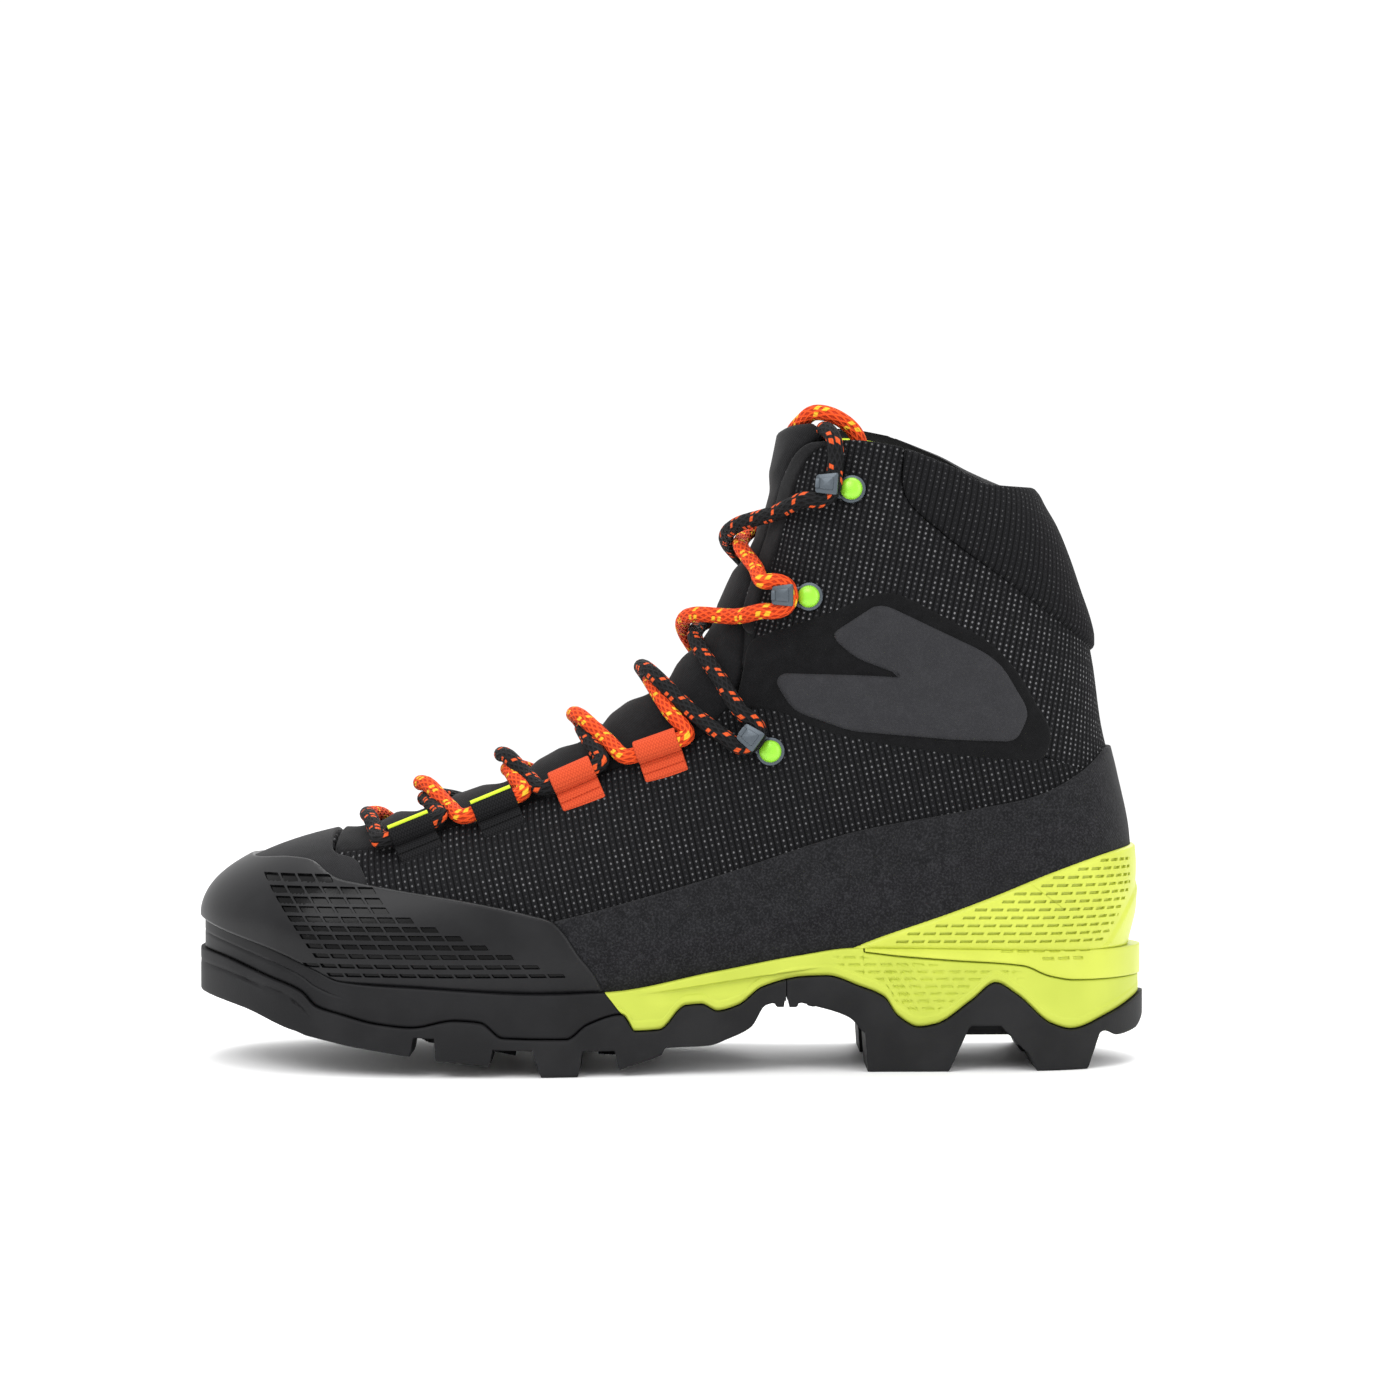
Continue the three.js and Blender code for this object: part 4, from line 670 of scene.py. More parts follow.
def knit_finish(name, lean, pitch_u, pitch_v, block, dot, light, base=(0.0052, 0.0052, 0.0058)):
    """Dark knit with light dots on a leaning lattice, in brick-like blocks, with painted shade in
    the grooves between ribs and painted highlight on their tops.
    """
    finish = Finish(name, base, 0.95, specular=0.1)
    u, v = finish.coordinate()
    c, s = math.cos(math.radians(lean)), math.sin(math.radians(lean))
    column = (u * c + v * s) * (1 / pitch_u)
    row = (v * c - u * s) * (1 / pitch_v)
    fu = (column.fract() - 0.5) * pitch_u
    fv = (row.fract() - 0.5) * pitch_v
    spot = (fu * fu + fv * fv * 0.8).op("SQRT")
    round_dot = spot.step(dot * 0.5 + 0.14, dot * 0.5 - 0.12)
    wide, tall = block
    level = (row * (1 / tall)).floor()
    shift = (level * 0.5).fract()
    cell = (column.floor() * (1 / wide) + shift).fract()
    line = (row.floor() * (1 / tall)).fract()
    inside = cell.step(1 / wide * 0.6, 1 / wide * 0.62) * line.step(1 / tall * 0.6, 1 / tall * 0.62)
    speck = finish.noise(650, 2)
    wear = finish.noise(60, 2)
    mask = round_dot * (inside * 0.62 + 0.3)
    mask = mask * (speck.step(0.3, 0.65) * 0.6 + 0.4) * (wear.step(0.25, 0.7) * 0.35 + 0.65)
    rib = fu.size().step(pitch_u * 0.5, pitch_u * 0.3)
    threads = ((u * c + v * s) * 9.0).wave() * 0.5 + ((v * c - u * s) * 9.0).wave() * 0.5
    # Painted shade and highlight: the rib colour runs from 0.35 of the base in the grooves to 1.5
    # of it on the rib tops, following the relief.
    weave = finish.mix(rib, tuple(k * 0.35 for k in base), tuple(k * 1.5 for k in base),
                       target=None)
    finish.mix(mask, weave, (light, light, light * 1.03))
    finish.relief(rib * 0.8 + round_dot * 0.5 + threads * 0.15, 0.3, 0.9)
    return finish.material


def cloth_finish(name, base, light, pitch=0.9, sheen=0.25, roughness=0.9, mottle=0.5):
    """Fine cloth or microfibre with heathered threads."""
    finish = Finish(name, base, roughness, sheen=sheen, specular=0.12)
    u, v = finish.coordinate()
    grain = finish.noise(1500, 4)
    cloud = finish.noise(220, 3)
    finish.mix(grain.step(0.4, 0.72) * (1 - mottle) + cloud.step(0.35, 0.7) * mottle, base, light)
    weave = (u * (2 * math.pi / pitch)).wave() * (v * (2 * math.pi / pitch)).wave()
    finish.relief(weave * 0.5 + grain * 0.8, 0.12, 0.6)
    return finish.material


def rubber_finish(name, base, light, roughness, grain, specular):
    finish = Finish(name, base, roughness, specular=specular)
    fine = finish.noise(1400, 3)
    wide = finish.noise(60, 3)
    finish.mix(wide.step(0.3, 0.75), base, light)
    finish.value(wide * 0.14 + (roughness - 0.07), "Roughness")
    finish.relief(fine, grain, 0.7)
    return finish.material


def lime_finish(name, base=(0.5, 0.66, 0.02), light=(0.56, 0.72, 0.035), roughness=0.42):
    finish = Finish(name, base, roughness, specular=0.3)
    wide = finish.noise(45, 2)
    finish.mix(wide.step(0.3, 0.75), base, light)
    finish.relief(finish.noise(1100, 2), 0.04, 0.5)
    return finish.material


LACE_GIRTH = 15.7
TICK_PITCH = 10.5  # of the coloured ticks along the lace


def lace_finish(name, base, fleck, groove_painted_shade):
    """Round braid: long fine strands crossing at a low angle, with short paired ticks, and painted
    shade in the grooves between the strands.
    """
    finish = Finish(name, base, 0.8, specular=0.15)
    u, v = finish.coordinate()
    first = u * 3.6 + v * 1.5
    other = u * 3.6 - v * 1.5
    strands = first.wave().most(other.wave())
    place = ((v + u * 0.45) * (1 / TICK_PITCH)).fract()
    lane = (u * (3 / LACE_GIRTH)).fract()
    dash = lane.step(0.04, 0.1) * lane.step(0.42, 0.36)
    beside = lane.step(0.5, 0.56) * lane.step(0.86, 0.8)
    tick = (place.step(0.06, 0.09) * place.step(0.22, 0.19)
            + place.step(0.3, 0.33) * place.step(0.46, 0.43)) * dash
    tick = tick + place.step(0.14, 0.17) * place.step(0.3, 0.27) * beside
    # Painted shade: the grooves between strands take the darker colour, and the strand tops take
    # the base.
    shade = finish.mix(strands.step(-0.1, 0.8), groove_painted_shade, base, target=None)
    finish.mix(tick * 0.85, shade, fleck)
    finish.relief(strands + finish.noise(2500, 2, "UV") * 0.3, 0.25, 0.9)
    return finish.material


def webbing_finish(name, base, light):
    finish = Finish(name, base, 0.9, specular=0.12)
    u, v = finish.coordinate()
    rib = (v * 5.2).wave()
    cross = (u * 6.5 + (v * 2.6).wave() * 0.8).wave()
    finish.mix((rib * cross).step(-0.5, 0.8), base, light)
    finish.relief(rib * 0.7 + cross * 0.4, 0.12, 0.8)
    return finish.material


vamp_cloth = knit_finish("vamp_knit", 13, 2.0, 1.8, (5, 5), 0.56, 0.15)
cuff_cloth = knit_finish("cuff_knit", -12, 2.0, 1.6, (4, 5), 0.6, 0.18)
collar_cloth = knit_finish("collar_knit", -12, 2.0, 1.6, (4, 5), 0.46, 0.07)
panel_cloth = cloth_finish("ankle_panel", (0.0028, 0.0028, 0.0032), (0.006, 0.006, 0.0067), 0.8,
                           0.05)
pad_cloth = cloth_finish("ankle_pad", (0.019, 0.019, 0.0215), (0.027, 0.027, 0.03), 0.7, 0.05,
                         0.6, 0.35)
side_cloth = cloth_finish("side_rand", (0.0065, 0.0065, 0.0075), (0.024, 0.024, 0.0265), 1.1,
                          0.05, 0.9, 0.2)
overlay_cloth = cloth_finish("toe_overlay", (0.0072, 0.0072, 0.008), (0.0128, 0.0128, 0.014),
                             0.8, 0.06, 0.8)
binding_cloth = cloth_finish("binding", (0.007, 0.007, 0.0075), (0.014, 0.014, 0.015), 0.7, 0.05)
tongue_cloth = cloth_finish("tongue", (0.0042, 0.0042, 0.0047), (0.009, 0.009, 0.01), 1.0, 0.06)
lining_cloth = cloth_finish("lining", (0.006, 0.006, 0.0065), (0.015, 0.015, 0.016), 1.2, 0.08)
lime_thread = lime_finish("lime_edge", roughness=0.7)
rand_rubber = rubber_finish("toe_rand", (0.0062, 0.0062, 0.007), (0.0105, 0.0105, 0.0115),
                            0.38, 0.03, 0.2)
# Rand window faces: a glossier rubber whose darker colour is painted shade in the recessed windows.
window_rubber_painted_shade = rubber_finish("rand_window_painted_shade", (0.0018, 0.0018, 0.002), (0.003, 0.003, 0.0033),
                             0.2, 0.02, 0.14)
sole_rubber = rubber_finish("outsole", (0.0085, 0.0085, 0.0093), (0.0145, 0.0145, 0.0155),
                            0.6, 0.07, 0.15)
mid_black = rubber_finish("midsole_black", (0.0058, 0.0058, 0.0065), (0.01, 0.01, 0.011),
                          0.5, 0.04, 0.16)
cup_lime = lime_finish("heel_cup_lime", (0.45, 0.5, 0.055), (0.5, 0.555, 0.068), 0.4)
mid_lime = lime_finish("midsole_lime", (0.4, 0.46, 0.05), (0.455, 0.515, 0.062), 0.5)
# The last colour of each lace is painted shade for the grooves between its strands.
orange_lace = lace_finish("lace_orange", (0.72, 0.072, 0.012), (0.8, 0.5, 0.03),
                          (0.42, 0.03, 0.006))
black_lace = lace_finish("lace_black", (0.009, 0.009, 0.01), (0.75, 0.1, 0.02),
                         (0.003, 0.003, 0.0032))
orange_web = webbing_finish("webbing_orange", (0.45, 0.05, 0.018), (0.58, 0.08, 0.027))
black_web = webbing_finish("webbing_black", (0.005, 0.005, 0.0055), (0.013, 0.013, 0.014))


def metal_finish(name, base, roughness, metallic):
    finish = Finish(name, base, roughness, metallic)
    finish.relief(finish.noise(700, 3), 0.03, 0.5)
    finish.value(finish.noise(90, 2) * 0.16 + (roughness - 0.08), "Roughness")
    return finish.material


slate = metal_finish("hook_slate", (0.07, 0.085, 0.1), 0.4, 0.5)
rivet_green = metal_finish("rivet_green", (0.26, 0.62, 0.03), 0.32, 0.15)
aglet_film = metal_finish("aglet", (0.015, 0.015, 0.016), 0.3, 0.0)
board_fibre = cloth_finish("board", (0.42, 0.37, 0.29), (0.5, 0.45, 0.36), 1.5, 0.0)
shank_plate = metal_finish("shank", (0.02, 0.02, 0.022), 0.4, 0.0)


# ------------------------------------------------------------------ outlines in the side view
EYESTAY = [[-105.4, 68], [-92, 69.4], [-73.8, 74.4], [-48.2, 82.2], [-23.7, 92.1], [3.6, 101.6],
           [12, 106]]
THROAT = [[17, 112.5], [20.5, 122], [22, 133], [22.3, 143]]
QUARTER_FRONT = [[24.2, 150], [26.8, 158], [29.8, 167], [32.6, 176.5], [35.8, 187], [39.6, 194],
                 [43.4, 196.8]]
COLLAR = [[48.8, 197.3], [60.8, 197.1], [73.2, 195]]
COLLAR_BACK = [[80.4, 192.5], [90.8, 188.5], [98.6, 184.7], [108.6, 183.8], [130, 185]]
COLLAR_SEAM = [[73.2, 195], [73.5, 179.8], [85.9, 167.2], [103.2, 154.8], [122.9, 140.9],
               [136.8, 131.5], [155, 127]]
RAND_TOP = [[-141.5, 69.5], [-136, 66.4], [-120.2, 66.9], [-112.1, 66], [-107, 62.8],
            [-103.4, 61], [-94.2, 59.3], [-60.9, 54], [-43.2, 50.1], [-35.5, 47.7]]
RAND_BACK = [[-32.2, 44.6], [-27.8, 38], [-22.4, 30.7], [-18.5, 22]]
SIDE_RAND_TOP = [[-35.5, 47.7], [-21.3, 51.1], [15.8, 61.5], [56.4, 74.3], [90.8, 80.8],
                 [115.8, 86.1], [130.8, 93.7], [139.6, 100.6], [155, 106]]
HEEL_CUP_TOP = [[52, 36], [64.5, 41], [81.1, 46.9], [99.7, 53.9], [118.2, 61.3], [133.2, 66.2],
                [142.2, 68.4], [160, 71]]
ANKLE_PANEL = [[24.2, 135], [50, 143.3], [61, 148.3], [67.5, 149.9], [73, 148.8], [100, 134.5],
               [108, 126.7], [121, 105.2], [117.4, 96.1], [90.7, 98], [65.7, 101.8],
               [50, 104.9], [33, 112.6], [20, 112.9], [22.6, 124]]
ANKLE_PAD = [[49.6, 136], [64.1, 145.4], [68, 145.2], [98.4, 130.8], [104.1, 126.5],
             [113, 112], [108.5, 102.6], [89.1, 103.2], [56.4, 106], [38.5, 112.4],
             [32.6, 121.6], [34.8, 124.4], [62, 123.6], [73.5, 122.9], [58, 128.8]]
TOE_OVERLAY_BACK = [[-94.4, 60.4], [-98.3, 66.1], [-106.4, 68.8], [-108.5, 80]]
BINDING_WIDTH = 4.2


def sole_edge(x0, x1, lift=-0.6, step=3.0):
    """The feather line between two lengths, where the upper tucks into the sole."""
    x = np.linspace(x0, x1, max(2, int(abs(x1 - x0) / step)))
    return np.c_[x, feather(x) + lift]


def grown(outline, distance):
    """A smooth outline moved outwards along its own normals."""
    p = np.asarray(outline, float)
    ahead, behind = np.roll(p, -1, 0), np.roll(p, 1, 0)
    t = ahead - behind
    n = np.c_[t[:, 1], -t[:, 0]]
    n /= np.maximum(np.linalg.norm(n, axis=1), 1e-9)[:, None]
    area = np.sum(p[:, 0] * ahead[:, 1] - ahead[:, 0] * p[:, 1])
    return p + n * distance * np.sign(area)


soft_grid = last_grid(SOFT_CELL)


def skin(name, outline, height, inner, radius, material, nodes, body=None,
         low=0.3, swell=None, under=None, side=None):
    """A piece of cloth, foam or rubber cut to an outline and laid on the last."""
    table, tris = soft_grid
    if side:
        near_side = table[:, 1] * side > -2
        tris = tris[near_side[tris].all(1)]
    table, tris, depth = cut_skin((table, tris), outline, height,
                                  rings=(radius * 0.12, radius * 0.45, radius))
    outer = inner + (height - inner) * rounded(depth, radius, low)
    if swell:
        outer = outer + swell(table, depth)
    inner_heights = np.full(len(table), float(inner))
    if under:
        inner_heights = inner_heights + under(table, depth)
    points, faces, uv = close_skin(table, tris, outer, inner_heights)
    piece = make_object(name, points, faces, uv, sharp=40)
    return dress(piece, material, body, nodes)


# ------------------------------------------------------------------ upper
vamp_outline = ring_of(sole_edge(-152, 150), [[165, 20], [155, 106], [139.6, 100.6], [131.5, 95]],
                       [[117.4, 98], [90.7, 100], [65.7, 103.5], [50, 107], [33, 115], [17, 112.5]],
                       bend(EYESTAY)[::-1], [[-107, 68.9], [-107, 90], [-165, 90]])
skin("vamp_knit_skin", vamp_outline, 0, -KNIT, 1.0, vamp_cloth, ["vamp_knit"])

seam = bend(COLLAR_SEAM[:-1])
cuff_outline = ring_of(bend(THROAT[-1:] + QUARTER_FRONT + COLLAR), seam[1:],
                       [[150, 126], [150, 103], [139.6, 99], [130.8, 92.5], [119, 97.5],
                        [108, 102], [60, 122], [28, 132]])
skin("cuff_knit_skin", cuff_outline, 0, -KNIT, 1.0, cuff_cloth, ["cuff_knit"])

collar_outline = ring_of(seam, [[152, 129], [152, 220], [130, 186.5]],
                         bend(COLLAR_BACK)[::-1][4:], [[74.5, 194.6]])


def collar_swell(table, depth):
    return 0.9 * smooth(0, 9, depth)


collar = skin("collar_pad_skin", collar_outline, 1.5, -KNIT, 2.6, collar_cloth,
              ["collar_pad"], swell=collar_swell, low=0.1)

panel_outline = rounded_corners(ANKLE_PANEL, 7, 6)
pad_outline = rounded_corners(ANKLE_PAD, 3.5, 5)


def pad_swell(table, depth):
    return 0.5 * smooth(0, 7, depth)


for side_name, side in SIDES.items():
    skin(f"ankle_panel_{side_name}_skin", panel_outline, 0.35, -KNIT, 1.2, panel_cloth,
         [f"ankle_panel_{side_name}"], side=side)
    pad = skin(f"ankle_pad_{side_name}_skin", pad_outline, 1.3, -0.4, 1.6, pad_cloth,
               [f"ankle_pad_{side_name}"], swell=pad_swell, side=side, low=0.15)
    edge = bend([[22.3, 138]] + THROAT[-1:] + QUARTER_FRONT + [[49, 197.2]])
    inner_edge = edge[::-1] + np.array([BINDING_WIDTH, -0.4 * BINDING_WIDTH])
    skin(f"front_binding_{side_name}_skin", ring_of(edge, inner_edge), 0.9, -KNIT, 0.9,
         binding_cloth, [f"front_binding_{side_name}"], side=side, low=0.1)

CROSSINGS = [-78.5, -51, -26.5, -4.5, 11.4, 26.0]


def tongue_swell(table, depth):
    """Padding that rises between the strands of the lace."""
    x = table[:, 0]
    near = np.full(len(x), 1e9)
    for crossing in [TOE_BAR] + CROSSINGS + [31]:
        z = float(ridge_height(crossing))
        near = np.minimum(near, np.hypot(x - crossing, table[:, 2] - z))
    across = np.clip(np.abs(table[:, 1]) / 24, 0, 1)
    return (0.2 + 1.7 * smooth(3, 11, near) * (1 - across**2)) * smooth(0, 5, depth)


tongue_outline = ring_of([[-106.6, 90], [-106.6, 69.2]], bend(EYESTAY) + [0, -0.8],
                         bend(THROAT + QUARTER_FRONT) + [0.8, 0], [[47, 199], [44, 203.4],
                                                                   [38, 203.4], [-40, 180]])
tongue = skin("tongue_skin", tongue_outline, -0.3, -3.0, 2.0, tongue_cloth, ["tongue"],
              swell=tongue_swell)

rand_grid = last_grid(FINE_CELL, last=11.0)


# Rows of windows in the rand: front end, rear end and height of each row's middle.
WINDOW_ROWS = [(-127.6, -105.3, 60.5), (-125.4, -93, 56.9), (-123.4, -85.9, 53.8),
               (-121.3, -83.7, 51), (-119, -76, 48.1), (-117, -68.6, 45.3), (-115, -61.2, 42.7),
               (-113.7, -54.4, 39.9), (-112, -47.6, 37), (-110.8, -40.5, 33.9),
               (-103, -33, 31.1)]
WINDOW_PITCH = 5.7
WINDOW_LEAN = -0.74  # across per height, of the ribs between windows
WINDOW_DEPTH = 0.75
WINDOW_PHASE = WINDOW_ROWS[0][0] - WINDOW_LEAN * WINDOW_ROWS[0][2]
WINDOW_RAMP = 0.22  # width of a window's sloping edge
RIB_HALF = 0.38
RAND_HEIGHT, RAND_INNER = 2.5, 0.3


def window_half(k):
    """Half the height of a window; the rows grow narrower downwards."""
    return 1.08 - 0.045 * k


def window_share(x, z):
    """1 inside a window, 0 on the ribs between."""
    along = (x - WINDOW_LEAN * z - WINDOW_PHASE) / WINDOW_PITCH
    from_rib = np.abs(along - np.round(along)) * WINDOW_PITCH
    cell = np.floor(along)
    recess = np.zeros(len(x))
    for k, (x0, x1, zk) in enumerate(WINDOW_ROWS):
        share = np.clip((window_half(k) - np.abs(z - zk)) / WINDOW_RAMP, 0, 1)
        share = np.minimum(share, np.clip((from_rib - RIB_HALF) / WINDOW_RAMP, 0, 1))
        centre = WINDOW_PHASE + WINDOW_PITCH * (cell + 0.5) + WINDOW_LEAN * zk
        share = np.where((centre > x0) & (centre < x1), share, 0)
        recess = np.maximum(recess, share)
    return recess


def mark_faces(piece, chosen):
    """Gives the faces that a test picks, from their centres and normals, the second finish."""
    mesh = piece.data
    count = len(mesh.polygons)
    centres, normals = np.zeros(count * 3), np.zeros(count * 3)
    mesh.polygons.foreach_get("center", centres)
    mesh.polygons.foreach_get("normal", normals)
    picked = chosen(centres.reshape(-1, 3) / MM, normals.reshape(-1, 3))
    mesh.polygons.foreach_set("material_index", picked.astype(np.int32))
    mesh.update()


def toe_rand():
    outline = ring_of(sole_edge(-152, -17), bend(RAND_TOP + RAND_BACK)[::-1],
                      [[-143.5, 90], [-165, 90]])
    table, tris, depth = cut_skin(rand_grid, outline, RAND_HEIGHT, rings=(0.15, 0.6, 1.5))
    # Places are read where the outer face shows them.
    shown = table[:, :3] + table[:, 3:6] * RAND_HEIGHT
    # Every edge of a window and of a rib is a line a x + b z = c.
    lines = []
    for k, (_, _, z) in enumerate(WINDOW_ROWS):
        half = window_half(k)
        lines += [(0, 1, z + d) for d in (half, half - WINDOW_RAMP, WINDOW_RAMP - half, -half)]
    for k in range(-1, 22):
        middle = WINDOW_PHASE + WINDOW_PITCH * k
        lines += [(1, -WINDOW_LEAN, middle + d) for d in (-RIB_HALF - WINDOW_RAMP, -RIB_HALF,
                                                          RIB_HALF, RIB_HALF + WINDOW_RAMP)]
    work = np.c_[table, depth, shown[:, 0], shown[:, 2]]
    for a, b, c in lines:
        field = a * work[:, 9] + b * work[:, 10] - c
        work, tris, _ = split(work, tris, field)
    table, depth, x, z = work[:, :8], work[:, 8], work[:, 9], work[:, 10]
    outer = (RAND_INNER + (RAND_HEIGHT - RAND_INNER) * rounded(depth, 1.5)
             - WINDOW_DEPTH * window_share(x, z))
    points, faces, uv = close_skin(table, tris, outer, np.full(len(table), RAND_INNER))
    piece = make_object("toe_rand_skin", points, faces, uv, sharp=32)
    piece.data.materials.append(rand_rubber)
    # The recessed window faces get the darker rubber as painted shade.
    piece.data.materials.append(window_rubber_painted_shade)
    mark_faces(piece, lambda c, n: window_share(c[:, 0] + 0.6 * n[:, 0],
                                                c[:, 2] + 0.6 * n[:, 2]) > 0.4)
    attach(piece, "foot")
    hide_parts("toe_rand")


toe_rand()

overlay_outline = ring_of([[-146, 90]], bend(RAND_TOP[:7]) - [0, 2.5],
                          bend(TOE_OVERLAY_BACK), [[-112, 90]])
skin("toe_overlay_skin", overlay_outline, 1.3, 0.1, 0.8, overlay_cloth,
     ["toe_overlay"], body="foot", low=0.1)

side_outline = ring_of(bend(SIDE_RAND_TOP[:-1]), [[155, 104], [165, 20]],
                       sole_edge(150, -21)[1:],
                       bend(RAND_BACK)[::-1] - [2.5, 0])
skin("side_rand_skin", side_outline, 1.5, 0.1, 0.9, side_cloth, ["side_rand"],
     body="foot", low=0.1)

FLEX_PIVOT = np.array([84.0, 104.0])


LEAN_BACK, LEAN_FRONT = -4.1, 160.2  # rays where the two linings part, in degrees


def flex_ray(degrees, lift):
    angle = math.radians(degrees)
    return FLEX_PIVOT + [150 * math.cos(angle), lift + 150 * math.sin(angle)]


lining_low = ring_of([FLEX_PIVOT + [0, 0.4], flex_ray(LEAN_FRONT, 0.4), [-200, 90], [-200, 20]],
                     sole_edge(-152, 150, 0.3), [[240, 20], flex_ray(LEAN_BACK, 0.4)])
skin("lining_lower_skin", lining_low, -3.1, -5.5, 1.2, lining_cloth, ["lining_lower"])
lining_high = ring_of([FLEX_PIVOT - [0, 0.4], flex_ray(LEAN_BACK, -0.4), [220, 210], [130, 184.6]],
                      bend(COLLAR_BACK[:-1])[::-1] - [0, 0.4], bend(COLLAR)[::-1] - [0, 0.4],
                      [[46, 197], [20, 197], [-60, 210], flex_ray(LEAN_FRONT, -0.4)])


def lining_puff(table, depth):
    return -0.8 * smooth(0, 8, depth) * smooth(120, 150, table[:, 2])


skin("lining_cuff_skin", lining_high, -1.7, -5.5, 2.2, lining_cloth, ["lining_cuff"],
     under=lining_puff)

# ------------------------------------------------------------------ sole
# Plan outline of the outsole, medial edge from toe to heel and the lateral edge back.
SOLE_PLAN = [[-152.7, 8], [-150.5, 23], [-140, 35.5], [-120, 46.5], [-95, 52.5], [-70, 54],
             [-40, 46], [-10, 39], [20, 35], [50, 34.5], [80, 36], [110, 37], [130, 32.5],
             [145, 19], [152.7, 0], [145, -19], [130, -32.5], [110, -38], [80, -39], [50, -40],
             [20, -43.5], [-10, -49], [-40, -53.5], [-70, -54], [-95, -51], [-120, -41],
             [-140, -23], [-150.5, -6]]
sole_ring = bend(SOLE_PLAN, 0.5, closed=True)


def edge_table(inset):
    """Outer and inner edge of the sole at close stations, moved in by an inset."""
    ring = grown(sole_ring, -inset) if inset else sole_ring
    first, last = int(ring[:, 0].argmin()), int(ring[:, 0].argmax())
    ring = np.roll(ring, -first, axis=0)
    last = (last - first) % len(ring)
    one = ring[:last + 1]
    two = np.vstack([ring[last:], ring[:1]])[::-1]
    low, high = (one, two) if one[:, 1].mean() < two[:, 1].mean() else (two, one)
    return ring[0, 0], one[-1, 0], low, high


class Edges:
    """Both edges of the sole by length."""

    def __init__(self, inset):
        self.x0, self.x1, self.low, self.high = edge_table(inset)

    def at(self, x):
        x = np.clip(x, self.x0, self.x1)
        return (np.interp(x, self.low[:, 0], self.low[:, 1]),
                np.interp(x, self.high[:, 0], self.high[:, 1]))


outsole_top = curve_through([[-154, 35.9], [-143, 34.4], [-125.5, 29.3], [-114, 25.2],
                             [-109.5, 21], [-101.5, 18.7], [-90, 16], [-79, 15], [-66, 17.2],
                             [-58, 16.6], [-51, 11.8], [-31.6, 11.3], [-25, 15.8],
                             [-14.6, 18.8], [-10.5, 13.5], [-3, 13.8], [5.2, 21.1], [10, 21.4],
                             [15, 19.2], [21.5, 20.9], [29, 26.4], [42.4, 29.5], [49, 29.7],
                             [59, 26.5], [67.3, 22.8], [71, 17.4], [78, 13.6], [83, 14.4],
                             [94.4, 21.9], [101.8, 27.4], [108.5, 23.7], [119.5, 14.4],
                             [126, 12.5], [138.4, 16.3], [153, 22.2]])
tread_front = curve_through([[-154, 22.5], [-134, 19], [-112.7, 12.8], [-104, 12.6],
                             [-79, 12.2], [-66, 11.6], [-54, 8.6], [-16, 7.8], [-3, 8.4],
                             [11.8, 8.7], [18.4, 10.8], [25.6, 14.4], [30, 21], [38, 22.6]])
tread_heel = curve_through([[36, 22.8], [46, 20.4], [56.3, 16.8], [61, 12], [66, 10], [134, 10],
                            [137, 11.4], [141.8, 9.6], [148.9, 10.6], [154, 16]])
rocker = curve_through([[-154, 22.5], [-134, 19], [-112.7, 12.2], [-99, 9.4], [-76, 5.8],
                        [-55, 3], [-40, 0.6], [-28, 0.6], [-15, 2.4], [-3, 5.8], [12, 8]])
cradle_bottom = curve_through([[56, 38.1], [71.6, 36.1], [87.1, 34.8], [110.4, 33],
                               [119.1, 29.6], [127, 28.2], [154, 27.6]])
EDGE_LUGS = [
    [[-121, 15], [-112.7, 12], [-99.1, 9.3], [-79.5, 6.4], [-78.2, 13.4], [-100, 14],
     [-119, 15.8]],
    [[-71.8, 5.1], [-55, 3.6], [-53.8, 9.8], [-60, 12.4], [-67.4, 12.9]],
    [[-39.3, 0], [-27.8, 0], [-26.4, 9], [-42.2, 9]],
    [[-15.4, 1.9], [-5.8, 4.9], [-2.2, 6.3], [-0.6, 9.6], [-4, 10.4], [-17, 9]],
    [[31.4, 24], [33.4, 20.4], [35.9, 20.4], [35.9, 24]]]
HEEL_LUGS = [[[61.8, 0], [87.3, 0], [92.6, 11.6], [61.2, 12]],
             [[114.8, 0], [131.5, 0], [135.8, 11.6], [105.4, 11.6], [108.5, 8.8], [112.3, 5.3]],
             [[36.8, 24], [37.4, 20.3], [39.8, 20.3], [41.4, 24]],
             [[42.6, 23], [43, 20.8], [45.4, 20.2], [47.4, 22]]]
HEEL_CHANNEL = np.array([[86.9, -1], [93.8, 14.2], [103.4, 14.2], [108.5, 8.8], [112.3, 5.3],
                         [114.6, -1]])
CENTRE_LUGS = [[-124, 13, 3], [-104, 17, 1], [-84, 19, 0], [-64, 19, -1], [-44, 17, -3],
               [-24, 14, -5], [-5, 12, -5]]


def lug_floor(outline, x):
    """Lowest height of a side-view outline at each length, 99 beyond it."""
    low = np.full(np.shape(x), 99.0)
    for (ax, az), (bx, bz) in zip(outline, outline[1:] + outline[:1]):
        if abs(bx - ax) < 1e-9:
            continue
        t = (x - ax) / (bx - ax)
        z = az + (bz - az) * t
        low = np.where((t >= 0) & (t <= 1), np.minimum(low, z), low)
    return low


def stations(x0, x1, step, marks=(), ramp=0.25):
    xs = list(np.arange(x0, x1, step)) + [x1]
    for m in marks:
        xs += [m - ramp, m + ramp]
    for d in (0.02, 0.08, 0.2, 0.4, 0.7, 1.1, 1.7, 2.4, 3.2):
        xs += [x0 + d, x1 - d]
    xs = np.unique(np.clip(np.round(xs, 3), x0, x1))
    return xs[np.r_[True, np.diff(xs) > 0.015]]


